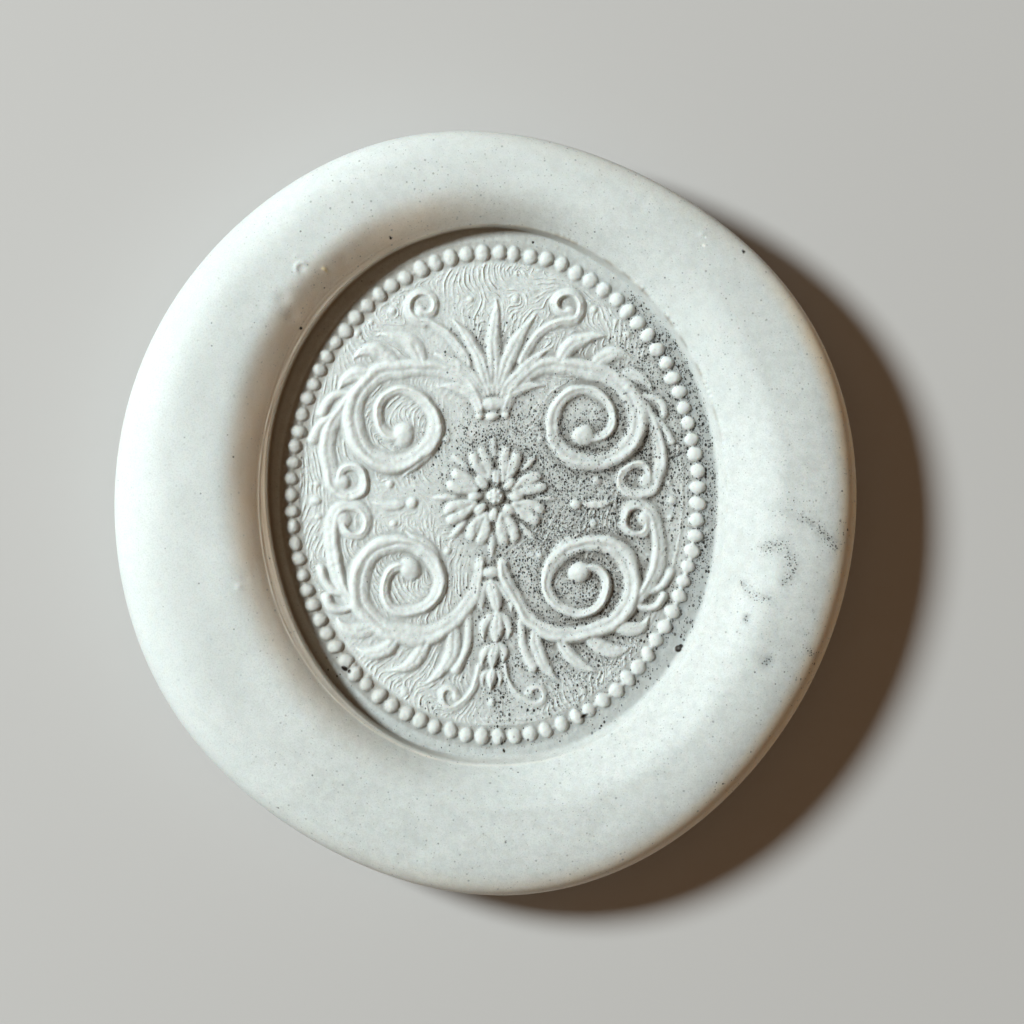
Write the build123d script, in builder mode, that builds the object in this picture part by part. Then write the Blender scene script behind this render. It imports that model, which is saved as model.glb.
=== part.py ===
"""Ready-made stick-on wax seal: a poured wax disc pressed with an oval die,
on a double-sided foam pad with a peel-off paper liner.

Millimetres.  +Z is up, out of the pressed face.  The origin is the middle of
the footprint, on the underside of the liner.
"""
import os
from math import atan2, cos, hypot, pi, radians, sin

from build123d import *

os.makedirs("parts", exist_ok=True)

# ---------------------------------------------------------------- dimensions
# paper liner
LINER_T = 0.12          # thickness
LINER_R = 11.5          # round sheet
TAB_W = 7.0             # pull tab, width
TAB_TIP = 16.2          # pull tab, tip from the middle
TAB_CORNER = 1.6        # corner radius of the tab

# double-sided foam pad
PAD_R = 10.5
TACK_T = 0.10           # each adhesive film
FOAM_T = 0.60           # foam core

# wax disc: mean radius and the uneven flow of its edge, as (cos, sin) waves
EDGE_R = 17.615
EDGE_WAVES = [
    (-0.036, 0.108),
    (-0.189, -0.132),
    (0.019, 0.135),
    (0.064, 0.151),
    (0.001, 0.008),
    (-0.039, -0.025),
]
BELLY_H = 1.35          # height of the widest outline above the wax underside
LIP_H = 3.05            # edge of the pressed oval
FIELD_H = 2.00          # floor of the pressed oval

# pressed oval
OVAL_X, OVAL_Y = 0.44, 0.88       # its middle, off the disc's middle
LIP_A, LIP_B = 10.72, 12.56       # top edge, half widths
FLOOR_A, FLOOR_B = 10.44, 12.26   # foot of the wall, half widths
LEDGE = 0.20                      # flat round the top edge

# bead border
BEADS = 87
BEAD_A, BEAD_B = 9.575, 11.415    # line of bead centres, half widths
BEAD_R = 0.33

# raised ornament
RELIEF_T = 0.38         # leaves, stems and petals
BOSS_T = 0.58           # bosses and inner petals
ROOT = 0.25             # how far the raised work is rooted in the floor

Z_PAD = LINER_T
Z_FOAM = Z_PAD + TACK_T
Z_TOP_TACK = Z_FOAM + FOAM_T
Z_WAX = Z_TOP_TACK + TACK_T
Z_FIELD = Z_WAX + FIELD_H


# ------------------------------------------------------------------- outlines
def edge_radius(a):
    return EDGE_R + sum(
        c * cos((k + 1) * a) + s * sin((k + 1) * a)
        for k, (c, s) in enumerate(EDGE_WAVES)
    )


def edge_point(a):
    r = edge_radius(a)
    return r * cos(a), r * sin(a)


DENSE = [edge_point(2 * pi * i / 3600) for i in range(3600)]
SHIFT_X = (max(p[0] for p in DENSE) + min(p[0] for p in DENSE)) / 2
SHIFT_Y = (max(p[1] for p in DENSE) + min(p[1] for p in DENSE)) / 2


def ring(inset=0.0, f=0.0, n=40):
    """Points round the disc: moved in from the widest outline by a distance,
    or by the part f of the way to the pressed oval."""
    pts = []
    for i in range(n):
        a = 2 * pi * i / n
        x, y = edge_point(a)
        x, y = x - SHIFT_X, y - SHIFT_Y
        if inset:
            d = hypot(x, y)
            x, y = x * (1 - inset / d), y * (1 - inset / d)
        if f:
            t = atan2((y - OVAL_Y) / (LIP_B + LEDGE), (x - OVAL_X) / (LIP_A + LEDGE))
            tx = OVAL_X + (LIP_A + LEDGE) * cos(t)
            ty = OVAL_Y + (LIP_B + LEDGE) * sin(t)
            x, y = x + f * (tx - x), y + f * (ty - y)
        pts.append((x, y))
    return pts


def oval_steps(a, b, n):
    """n points at even spacing along an ellipse, about its middle."""
    m = 7200
    pts = [(a * cos(2 * pi * i / m), b * sin(2 * pi * i / m)) for i in range(m + 1)]
    run = [0.0]
    for p, q in zip(pts, pts[1:]):
        run.append(run[-1] + hypot(q[0] - p[0], q[1] - p[1]))
    out, j = [], 0
    for k in range(n):
        while run[j] < run[-1] * k / n:
            j += 1
        out.append(pts[j])
    return out


def curve(p0, p1, p2, p3, n):
    """Points along a cubic curve."""
    pts = []
    for i in range(n):
        t = i / (n - 1)
        w = ((1 - t) ** 3, 3 * t * (1 - t) ** 2, 3 * t * t * (1 - t), t ** 3)
        pts.append((
            w[0] * p0[0] + w[1] * p1[0] + w[2] * p2[0] + w[3] * p3[0],
            w[0] * p0[1] + w[1] * p1[1] + w[2] * p2[1] + w[3] * p3[1],
        ))
    return pts


def volute(lead, centre, start, sweep, radii, n=22):
    """A stem that winds into a scroll: a lead-in curve, then a closing turn."""
    pts = curve(*lead, 7)[:-1]
    for i in range(n):
        t = i / (n - 1)
        k = t * (len(radii) - 1)
        j = min(int(k), len(radii) - 2)
        r = radii[j] + (radii[j + 1] - radii[j]) * (k - j)
        a = radians(start + sweep * t)
        pts.append((centre[0] + r * cos(a), centre[1] + r * sin(a)))
    return pts


def sides(pts, w0, w1):
    """The two edges of a stem of tapering half width along pts."""
    left, right = [], []
    n = len(pts)
    for i, (x, y) in enumerate(pts):
        p, q = pts[max(0, i - 1)], pts[min(n - 1, i + 1)]
        d = hypot(q[0] - p[0], q[1] - p[1])
        nx, ny = -(q[1] - p[1]) / d, (q[0] - p[0]) / d
        w = w0 + (w1 - w0) * i / (n - 1)
        left.append((x + nx * w, y + ny * w))
        right.append((x - nx * w, y - ny * w))
    return left, right


def flip(p, s):
    return p[0] * s, p[1]


def stem(pts, w0, w1, s):
    """A stem's outline, on the right (s = 1) or mirrored to the left (s = -1)."""
    left, right = sides([flip(p, s) for p in pts], w0, w1)
    with BuildLine() as outline:
        Spline(*left)
        Line(left[-1], right[-1])
        Spline(*right[::-1])
        Line(right[0], left[0])
    return make_face(outline.edges(), mode=Mode.PRIVATE)


def blade(p, q, w, s):
    """A pointed leaf from p to q, of half width w."""
    p, q = flip(p, s), flip(q, s)
    d = hypot(q[0] - p[0], q[1] - p[1])
    nx, ny = -(q[1] - p[1]) / d, (q[0] - p[0]) / d
    mx, my = p[0] + 0.55 * (q[0] - p[0]), p[1] + 0.55 * (q[1] - p[1])
    with BuildLine() as outline:
        ThreePointArc(p, (mx + nx * w, my + ny * w), q)
        ThreePointArc(q, (mx - nx * w, my - ny * w), p)
    return make_face(outline.edges(), mode=Mode.PRIVATE)


# ------------------------------------------------------- layout of the ornament
# about the middle of the oval; the right half, mirrored to the left
LOW_EYE, TOP_EYE = (4.35, -4.15), (4.45, 3.55)
LOW_STEM = volute(
    ((0.55, -3.3), (0.75, -5.6), (2.3, -7.0), (4.35, -6.60)),
    LOW_EYE, -90, 345, [2.45, 2.40, 2.15, 1.85, 1.55],
)
TOP_STEM = volute(
    ((0.62, 4.15), (0.95, 5.7), (2.4, 6.55), (4.45, 6.05)),
    TOP_EYE, 90, -345, [2.50, 2.44, 2.15, 1.85, 1.55],
)
LEAVES = [
    ((6.30, -5.90), (7.70, -4.05), 0.42), ((5.40, -6.50), (7.15, -6.00), 0.40),
    ((4.20, -6.75), (6.15, -7.45), 0.42), ((2.90, -6.50), (4.40, -8.35), 0.42),
    ((1.60, -5.60), (2.45, -8.60), 0.42),
    ((6.40, 5.25), (7.75, 3.30), 0.42), ((5.50, 5.85), (7.15, 5.15), 0.40),
    ((4.20, 6.25), (6.20, 6.75), 0.42), ((3.00, 6.00), (4.90, 7.70), 0.42),
    ((6.90, -0.20), (8.10, 1.75), 0.44), ((6.90, -0.50), (8.05, -2.45), 0.44),
    ((6.60, -0.35), (8.40, -0.35), 0.36),
    ((0.50, 5.00), (2.05, 8.90), 0.44), ((0.70, 4.85), (3.35, 7.55), 0.40),
]
MIDDLE_LEAVES = [
    ((0.0, 4.80), (0.0, 9.45), 0.50), ((0.0, -4.30), (0.0, -6.15), 0.48),
    ((0.0, -5.90), (0.0, -7.50), 0.42), ((0.0, -7.30), (0.0, -8.70), 0.36),
]
TWIGS = [curve((2.85, -0.20), (4.0, -0.50), (5.3, -0.55), (6.55, -0.35), 7)]
ROSE = (0.0, -0.10)
PETALS = 8

# ------------------------------------------------------------------------ wax
with BuildPart() as wax:
    # the poured disc: flat underside, rounded edge, thick rolled rim
    for height, inset, f in [
        (0.00, 1.35, 0.0),
        (0.45, 0.42, 0.0),
        (BELLY_H, 0.0, 0.0),
        (2.45, 0.0, 0.06),
        (3.35, 0.0, 0.17),
        (3.98, 0.0, 0.31),
        (4.22, 0.0, 0.46),
        (4.08, 0.0, 0.64),
        (3.62, 0.0, 0.82),
        (LIP_H, 0.0, 1.0),
    ]:
        with BuildSketch(Plane.XY.offset(Z_WAX + height)):
            with BuildLine():
                Spline(*ring(inset, f), periodic=True)
            make_face()
    loft()
    # the hollow left by the die, with a little draft on its wall
    with BuildSketch(Plane.XY.offset(Z_FIELD)):
        with Locations((OVAL_X, OVAL_Y)):
            Ellipse(FLOOR_A, FLOOR_B)
    with BuildSketch(Plane.XY.offset(Z_WAX + LIP_H)):
        with Locations((OVAL_X, OVAL_Y)):
            Ellipse(LIP_A, LIP_B)
    loft(mode=Mode.SUBTRACT)
    # the raised ornament
    with BuildSketch(Plane.XY.offset(Z_FIELD - ROOT)):
        with Locations((OVAL_X, OVAL_Y)):
            for s in (1, -1):
                add(stem(LOW_STEM, 0.36, 0.28, s))
                add(stem(TOP_STEM, 0.36, 0.28, s))
                for twig in TWIGS:
                    add(stem(twig, 0.22, 0.26, s))
                for p, q, w in LEAVES:
                    add(blade(p, q, w, s))
            for p, q, w in MIDDLE_LEAVES:
                add(blade(p, q, w, 1))
        for eye in (LOW_EYE, TOP_EYE):
            for s in (1, -1):
                with Locations((OVAL_X + s * eye[0], OVAL_Y + eye[1])):
                    with PolarLocations(0.62, 6):
                        Ellipse(0.38, 0.27)
        with Locations((OVAL_X + ROSE[0], OVAL_Y + ROSE[1])):
            with PolarLocations(1.85, PETALS, start_angle=22.5):
                Ellipse(0.98, 0.60)
    extrude(amount=ROOT + RELIEF_T)
    # the higher bosses
    with BuildSketch(Plane.XY.offset(Z_FIELD - ROOT)):
        with Locations((OVAL_X + ROSE[0], OVAL_Y + ROSE[1])):
            Circle(0.60)
            with PolarLocations(0.98, PETALS):
                Ellipse(0.60, 0.40)
        with Locations((OVAL_X, OVAL_Y + 4.45)):
            Ellipse(0.85, 0.42)
        with Locations((OVAL_X, OVAL_Y - 3.80)):
            Ellipse(0.66, 0.44)
        for x, y, r in [
            (*LOW_EYE, 0.40), (*TOP_EYE, 0.40), (6.55, -0.35, 0.44),
        ]:
            for s in (1, -1):
                with Locations((OVAL_X + s * x, OVAL_Y + y)):
                    Circle(r)
    extrude(amount=ROOT + BOSS_T)
    # the border of beads
    with Locations(*[
        (OVAL_X + x, OVAL_Y + y, Z_FIELD + 0.03)
        for x, y in oval_steps(BEAD_A, BEAD_B, BEADS)
    ]):
        Sphere(BEAD_R)
wax.part.label = "wax_body"
export_step(wax.part, "parts/wax_body.step")

# ----------------------------------------------------------- double-sided pad
with BuildPart() as upper_adhesive:
    with BuildSketch(Plane.XY.offset(Z_TOP_TACK)):
        Circle(PAD_R)
    extrude(amount=TACK_T)
upper_adhesive.part.label = "upper_adhesive"
export_step(upper_adhesive.part, "parts/upper_adhesive.step")

with BuildPart() as foam_core:
    with BuildSketch(Plane.XY.offset(Z_FOAM)):
        Circle(PAD_R)
    extrude(amount=FOAM_T)
foam_core.part.label = "foam_core"
export_step(foam_core.part, "parts/foam_core.step")

with BuildPart() as lower_adhesive:
    with BuildSketch(Plane.XY.offset(Z_PAD)):
        Circle(PAD_R)
    extrude(amount=TACK_T)
lower_adhesive.part.label = "lower_adhesive"
export_step(lower_adhesive.part, "parts/lower_adhesive.step")

# ---------------------------------------------------------------- paper liner
with BuildPart() as release_liner:
    with BuildSketch(Plane.XY) as sheet:
        Circle(LINER_R)
        with Locations((TAB_TIP / 2, 0)):
            Rectangle(TAB_TIP, TAB_W)
        fillet(sheet.vertices().group_by(Axis.X)[-1], TAB_CORNER)
    extrude(amount=LINER_T)
release_liner.part.label = "release_liner"
export_step(release_liner.part, "parts/release_liner.step")
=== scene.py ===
import math

import bpy
import numpy as np
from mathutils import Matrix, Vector


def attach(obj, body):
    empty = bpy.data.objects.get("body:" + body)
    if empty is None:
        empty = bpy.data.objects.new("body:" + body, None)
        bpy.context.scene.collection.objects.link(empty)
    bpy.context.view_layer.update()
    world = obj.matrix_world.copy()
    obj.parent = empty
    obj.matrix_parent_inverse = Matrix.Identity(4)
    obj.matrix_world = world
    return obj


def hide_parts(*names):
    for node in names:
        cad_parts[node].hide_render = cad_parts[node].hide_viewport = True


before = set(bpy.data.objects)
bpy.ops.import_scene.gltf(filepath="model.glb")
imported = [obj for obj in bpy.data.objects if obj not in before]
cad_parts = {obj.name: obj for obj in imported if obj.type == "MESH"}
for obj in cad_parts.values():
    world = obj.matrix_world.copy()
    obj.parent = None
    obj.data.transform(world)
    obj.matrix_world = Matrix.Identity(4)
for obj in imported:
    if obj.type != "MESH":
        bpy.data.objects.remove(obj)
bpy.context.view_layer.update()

MM = 0.001
TAU = 2 * np.pi

# =====================================================================
# Sizes, in millimetres, in the part's own frame
# =====================================================================
LINER_T, LINER_R, TAB_W, TAB_TIP, TAB_CORNER = 0.12, 11.5, 7.0, 16.2, 1.6
PAD_R, TACK_T, FOAM_T = 10.5, 0.10, 0.60
Z_PAD = LINER_T
Z_FOAM = Z_PAD + TACK_T
Z_TOP_TACK = Z_FOAM + FOAM_T
Z_WAX = Z_TOP_TACK + TACK_T

EDGE_R = 17.615
EDGE_WAVES = [(-0.036, 0.108), (-0.189, -0.132), (0.019, 0.135), (0.064, 0.151), (0.001, 0.008), (-0.039, -0.025)]
BELLY_H = 1.35
FIELD_H = 2.00
OVAL = np.array((0.44, 0.88))
BEADS, BEAD_A, BEAD_B = 87, 9.575, 11.415


# =====================================================================
# A board to draw the pressed relief on: heights in millimetres, with the
# origin at the middle of the oval
# =====================================================================
RES = 0.025
UMAX, VMAX = 11.4, 13.2
NU, NV = int(round(2 * UMAX / RES)) + 1, int(round(2 * VMAX / RES)) + 1
U = np.linspace(-UMAX, UMAX, NU)
V = np.linspace(-VMAX, VMAX, NV)
rng = np.random.default_rng(41)


def blur(z, mm):
    """Gaussian blur of a board, sigma in millimetres."""
    fu = np.fft.rfftfreq(NU, RES)[None, :]
    fv = np.fft.fftfreq(NV, RES)[:, None]
    k = np.exp(-2 * (np.pi * mm) ** 2 * (fu * fu + fv * fv))
    return np.fft.irfft2(np.fft.rfft2(z) * k, s=z.shape).astype(np.float32)


def noise(mm, seed):
    """Smooth noise of unit spread with features of about mm."""
    g = np.random.default_rng(seed).standard_normal((NV, NU)).astype(np.float32)
    n = blur(g, mm * 0.5)
    return (n - n.mean()) / n.std()


def ramp(x, a, b):
    x = np.clip((x - a) / (b - a), 0, 1)
    return x * x * (3 - 2 * x)


def resample(pts, w, h, step=0.03):
    pts = np.asarray(pts, float)
    s = np.r_[0, np.cumsum(np.hypot(*np.diff(pts, axis=0).T))]
    n = max(2, int(s[-1] / step) + 1)
    t = np.linspace(0, s[-1], n)
    f = t / s[-1]

    def val(x):
        return x(f) if callable(x) else np.full(n, float(x))

    return np.c_[np.interp(t, s, pts[:, 0]), np.interp(t, s, pts[:, 1])], val(w), val(h)


def bezier(*p, n=60):
    p = np.asarray(p, float)[:, None, :] * np.ones((1, n, 1))
    t = np.linspace(0, 1, n)[:, None]
    while len(p) > 1:
        p = p[:-1] * (1 - t) + p[1:] * t
    return p[0]


def spiral(c, a0, sweep, radii, n=240):
    f = np.linspace(0, 1, n)
    a = np.radians(a0 + sweep * f)
    r = np.interp(f, np.linspace(0, 1, len(radii)), radii)
    k = np.hanning(41)
    r = np.convolve(np.pad(r, 20, mode="edge"), k / k.sum(), "valid")
    return np.c_[c[0] + r * np.cos(a), c[1] + r * np.sin(a)]


def soften(pts, it=10):
    pts, _, _ = resample(pts, 1, 1, 0.05)
    for _ in range(it):
        pts[1:-1] = 0.25 * pts[:-2] + 0.5 * pts[1:-1] + 0.25 * pts[2:]
    return pts


class Board:
    def __init__(self, p=0.5):
        self.p = p          # 0.5 is a round back, 1 a soft one
        self.z = np.zeros((NV, NU), np.float32)
        self.g = np.zeros((NV, NU), np.float32)

    def win(self, u, v, r):
        i0, i1 = max(0, int((u - r + UMAX) / RES)), min(NU, int((u + r + UMAX) / RES) + 2)
        j0, j1 = max(0, int((v - r + VMAX) / RES)), min(NV, int((v + r + VMAX) / RES) + 2)
        return slice(j0, max(j0, j1)), slice(i0, max(i0, i1))

    def dome(self, u, v, ru, rv, h, ang=0.0):
        sj, si = self.win(u, v, max(ru, rv))
        du, dv = U[si][None, :] - u, V[sj][:, None] - v
        c, s = np.cos(ang), np.sin(ang)
        q = ((du * c + dv * s) / ru) ** 2 + ((-du * s + dv * c) / rv) ** 2
        z = np.where(q < 1, h * np.maximum(0, 1 - q) ** self.p, 0).astype(np.float32)
        np.maximum(self.z[sj, si], z, out=self.z[sj, si])

    def stroke(self, pts, w, h):
        for (u, v), ww, hh in zip(*resample(pts, w, h)):
            if ww > 0.03:
                self.dome(u, v, ww, ww, hh)

    def groove(self, pts, w, d):
        for (u, v), ww, dd in zip(*resample(pts, w, d)):
            sj, si = self.win(u, v, 2.4 * ww)
            du, dv = U[si][None, :] - u, V[sj][:, None] - v
            q = (dd * np.exp(-(du * du + dv * dv) / (ww * ww))).astype(np.float32)
            np.maximum(self.g[sj, si], q, out=self.g[sj, si])

    def height(self):
        return self.z - np.minimum(self.g, self.z * 0.75)


class Ornament:
    """Foliate ornament for an oval, drawn as on a hand-cut die: its two sides almost match."""

    def __init__(self):
        self.b = Board(0.72)
        self.s = self.hand = 1

    def at(self, p):
        p = np.array(p, float)
        p[..., 0] *= self.s
        u, v = p[..., 0].copy(), p[..., 1].copy()
        p[..., 0] += 0.06 * np.sin(0.9 * v + 0.5 * u + 0.7) + 0.03 * np.sin(2.1 * u - 1.3 * v)
        p[..., 1] += 0.06 * np.sin(0.8 * u - 0.4 * v + 1.9) + 0.03 * np.cos(1.9 * v + 1.1 * u)
        return p

    def ball(self, u, v, r, h=None):
        u, v = self.at((u, v))
        k = 1 + 0.06 * rng.standard_normal()
        self.b.dome(u, v, r * k, r * k, h or r * 1.1)

    def leaf(self, p0, p1, p2, w, h, vein=0.09):
        c = bezier(self.at(p0), self.at(p1), self.at(p2))
        h = h * (1 + 0.08 * rng.standard_normal())
        self.b.stroke(
            c,
            lambda f: np.maximum(0.04, w * np.sin(np.pi * f**0.8) ** 0.8 * (1 - 0.1 * f) + 0.05 * (1 - f)),
            lambda f: h * (0.6 + 0.4 * np.sin(np.pi * f**0.8)),
        )
        if vein:
            k = len(c)
            self.b.groove(c[int(k * 0.1): int(k * 0.85)], lambda f: 0.06 * (1 - 0.4 * f) + 0.015, lambda f: vein * (1 - 0.5 * f))

    def finger(self, p0, p1, p2, w0, w1, h):
        """A lobe with a round tip."""
        c = bezier(self.at(p0), self.at(p1), self.at(p2))
        h = h * (1 + 0.08 * rng.standard_normal())
        self.b.stroke(c, lambda f: w0 + (w1 - w0) * f**1.3, lambda f: h * (0.72 + 0.28 * f))

    def scroll(self, pts, w, h, knob=0.0, flute=0.08):
        """A scroll: a low broad back, its ridge carried to the outside of the turn."""
        q, ww, hh = resample(soften(self.at(pts)), w, h)
        t = np.gradient(q, axis=0)
        t /= np.linalg.norm(t, axis=1)[:, None] + 1e-9
        side = np.c_[t[:, 1], -t[:, 0]] * (self.s * self.hand)
        beat = 1 + 0.10 * np.sin(np.arange(len(q)) * 0.03 / 0.52 + rng.uniform(0, TAU))
        for (u, v), a, z in zip(q, ww * 1.06, hh * 0.74):
            self.b.dome(u, v, a, a, z)
        for (u, v), a, z in zip(q + side * (0.36 * ww)[:, None], ww * 0.60 * beat, hh):
            self.b.dome(u, v, a, a, z)
        if knob:
            self.b.dome(*q[-1], knob * 1.08, knob * 1.08, knob * 1.15)
        if flute:
            c = q - side * (0.20 * ww)[:, None]
            n = len(c)
            self.b.groove(
                c[int(n * 0.05): int(n * 0.72)],
                lambda f: 0.055 + 0 * f,
                lambda f: flute * np.minimum(1, 5 * f) * np.minimum(1, 5 * (1 - f)),
            )

    def draw(self):
        thick = lambda f: 0.25 + 0.27 * np.sin(np.pi * np.clip(1.15 * f + 0.02, 0, 1)) ** 1.2 - 0.02 * f
        tall = lambda f: 0.44 + 0.08 * np.sin(np.pi * f)
        thin = lambda f: 0.19 + 0.18 * np.sin(np.pi * np.clip(f + 0.12, 0, 1))
        turn = [2.3, 2.26, 2.05, 1.8, 1.5, 1.2, 0.95, 0.72]
        curl = [0.85, 0.82, 0.72, 0.58, 0.42]
        for self.s in (1, -1):
            # the four large volutes
            self.hand = 1
            lead = bezier((0.55, -3.2), (0.8, -5.5), (2.3, -7.0), (4.25, -6.55))
            self.scroll(np.r_[lead[:-1], spiral((4.25, -4.25), -90, 560, turn)], thick, tall, knob=0.52)
            self.hand = -1
            lead = bezier((0.62, 4.1), (0.95, 5.7), (2.4, 6.4), (4.5, 5.85))
            self.scroll(np.r_[lead[:-1], spiral((4.5, 3.55), 90, -560, turn)], thick, tall, knob=0.52)
            # the curls between them
            lead = bezier((6.15, -5.5), (7.6, -4.6), (7.75, -2.6), (7.6, -1.35))
            self.scroll(np.r_[lead[:-1], spiral((6.75, -1.35), 0, 380, curl)], thin, 0.40, knob=0.38, flute=0)
            lead = bezier((6.35, 4.9), (7.7, 3.9), (7.85, 2.1), (7.65, 0.75))
            self.scroll(np.r_[lead[:-1], spiral((6.8, 0.75), 0, -380, curl)], thin, 0.40, knob=0.38, flute=0)
            # leaves thrown off the outer turns
            self.finger((6.9, -4.6), (7.9, -4.6), (8.15, -3.6), 0.18, 0.26, 0.36)
            self.finger((6.6, -5.2), (7.7, -5.6), (7.95, -4.75), 0.18, 0.25, 0.36)
            self.leaf((5.5, -6.2), (6.9, -6.9), (7.35, -5.75), 0.36, 0.40)
            self.leaf((4.4, -6.6), (5.4, -7.9), (6.5, -7.2), 0.38, 0.40)
            self.leaf((3.1, -6.5), (3.4, -8.2), (5.0, -8.3), 0.38, 0.40)
            self.leaf((1.9, -5.9), (1.6, -8.0), (3.2, -8.9), 0.38, 0.38)
            self.finger((1.25, -5.2), (0.95, -7.0), (1.75, -8.2), 0.18, 0.28, 0.36)
            self.finger((7.1, 3.9), (8.1, 3.6), (8.25, 2.6), 0.18, 0.26, 0.36)
            self.finger((6.8, 4.7), (7.9, 4.8), (8.0, 3.9), 0.18, 0.25, 0.36)
            self.leaf((5.7, 5.5), (7.0, 6.0), (7.4, 4.9), 0.36, 0.40)
            self.leaf((4.5, 5.95), (5.6, 7.2), (6.6, 6.4), 0.38, 0.40)
            self.leaf((3.2, 5.9), (3.7, 7.6), (5.3, 7.5), 0.38, 0.40)
            # fillings
            self.leaf((2.55, -3.6), (2.9, -2.3), (4.0, -1.65), 0.30, 0.34, vein=0.06)
            self.leaf((2.65, 3.1), (3.1, 1.7), (4.3, 1.0), 0.30, 0.34, vein=0.06)
            self.leaf((4.15, -0.28), (5.0, -0.42), (5.75, -0.3), 0.24, 0.32, vein=0.05)
            self.ball(3.75, -0.25, 0.30, 0.38)
            # tendrils
            lead = bezier((1.25, 6.2), (1.6, 7.4), (3.05, 7.95))
            self.scroll(np.r_[lead[:-1], spiral((3.35, 8.75), -105, 400, [0.80, 0.76, 0.66, 0.52, 0.36])], lambda f: 0.24 - 0.05 * f, 0.36, knob=0.27, flute=0)
            lead = bezier((0.55, -8.0), (0.7, -9.3), (1.6, -9.75))
            self.scroll(np.r_[lead[:-1], spiral((2.05, -9.45), 215, 330, [0.55, 0.52, 0.46, 0.36, 0.28])], lambda f: 0.19 - 0.03 * f, 0.30, knob=0.22, flute=0)
            for u, v, r in [
                (8.5, -0.3, 0.26), (8.35, 0.55, 0.17), (8.35, -1.15, 0.17), (6.35, 7.55, 0.20), (5.75, 8.1, 0.15), (4.75, 8.6, 0.18),
                (6.7, -8.0, 0.20), (5.9, -8.6, 0.15), (4.2, -9.3, 0.19), (1.05, 9.2, 0.17), (2.3, 2.65, 0.20), (2.15, -2.75, 0.20),
                (4.6, -1.25, 0.22), (4.9, 0.65, 0.22),
            ]:
                self.ball(u, v, r)
        self.s = 1
        # the rose in the middle
        c0 = np.array((0.0, -0.1))
        for i in range(8):
            a = np.pi / 2 + TAU * i / 8
            d = np.array((np.cos(a), np.sin(a)))
            self.b.dome(*self.at(c0 + 2.30 * d), 0.62, 0.20, 0.30, ang=a)
        for i in range(8):
            a = np.pi / 2 + TAU * (i + 0.5) / 8
            d = np.array((np.cos(a), np.sin(a)))
            n = np.array((-d[1], d[0]))
            for k in (-1, 1):
                tip = self.at(c0 + 2.12 * d + 0.24 * k * n)
                self.b.stroke(bezier(self.at(c0 + 0.9 * d), self.at(c0 + 1.5 * d + 0.42 * k * n), tip), lambda f: 0.16 + 0.19 * f, lambda f: 0.36 + 0.07 * f)
            self.b.dome(*self.at(c0 + 1.62 * d), 0.72, 0.40, 0.40, ang=a)
            self.b.groove([self.at(c0 + 1.15 * d), self.at(c0 + 2.5 * d)], lambda f: 0.05 + 0.03 * f, lambda f: 0.07 + 0.13 * f)
        for i in range(8):
            a = np.pi / 2 + TAU * i / 8
            d = np.array((np.cos(a), np.sin(a)))
            self.b.dome(*self.at(c0 + 0.90 * d), 0.42, 0.27, 0.54, ang=a)
            self.b.groove([self.at(c0 + 0.72 * d), self.at(c0 + 1.3 * d)], lambda f: 0.045 + 0 * f, lambda f: 0.07 + 0 * f)
        self.b.dome(*self.at(c0), 0.46, 0.46, 0.62)
        for i in range(7):
            a = TAU * i / 7
            self.b.dome(*self.at(c0 + 0.27 * np.array((np.cos(a), np.sin(a)))), 0.11, 0.11, 0.70)
        self.b.dome(*self.at(c0), 0.12, 0.12, 0.74)
        # the palmette above it
        base = np.array((0.0, 4.3))
        for ang, ln, w in [(90, 4.9, 0.42), (70, 4.35, 0.38), (110, 4.35, 0.38), (49, 3.55, 0.35), (131, 3.55, 0.35), (27, 2.55, 0.30), (153, 2.55, 0.30)]:
            d = np.array((np.cos(np.radians(ang)), np.sin(np.radians(ang))))
            o = np.array((d[1], -d[0])) * np.sign(90 - ang)
            self.leaf(base + 0.5 * d, base + 0.6 * ln * d - 0.3 * o, base + ln * d + 0.45 * o, w, 0.42, vein=0.12)
        self.b.dome(*self.at((0, 4.35)), 0.80, 0.34, 0.52)
        self.b.dome(*self.at((0, 3.72)), 0.42, 0.28, 0.46)
        for k in (-1, 1):
            self.b.dome(*self.at((0.62 * k, 3.75)), 0.22, 0.22, 0.34)
        # the husks below it
        self.b.dome(*self.at((0, -3.65)), 0.58, 0.32, 0.50)
        for v, s in [(-4.3, 1.0), (-5.8, 0.88), (-7.15, 0.76), (-8.35, 0.62)]:
            self.leaf((0, v + 0.3 * s), (0, v - 0.5 * s), (0, v - 1.35 * s), 0.40 * s, 0.48)
            for k in (1, -1):
                self.leaf((k * 0.15, v + 0.25 * s), (k * 0.80 * s, v - 0.25 * s), (k * 0.62 * s, v - 1.1 * s), 0.25 * s, 0.36, vein=0.05)
        self.b.dome(*self.at((0, -9.75)), 0.24, 0.24, 0.30)
        return self.b


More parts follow.
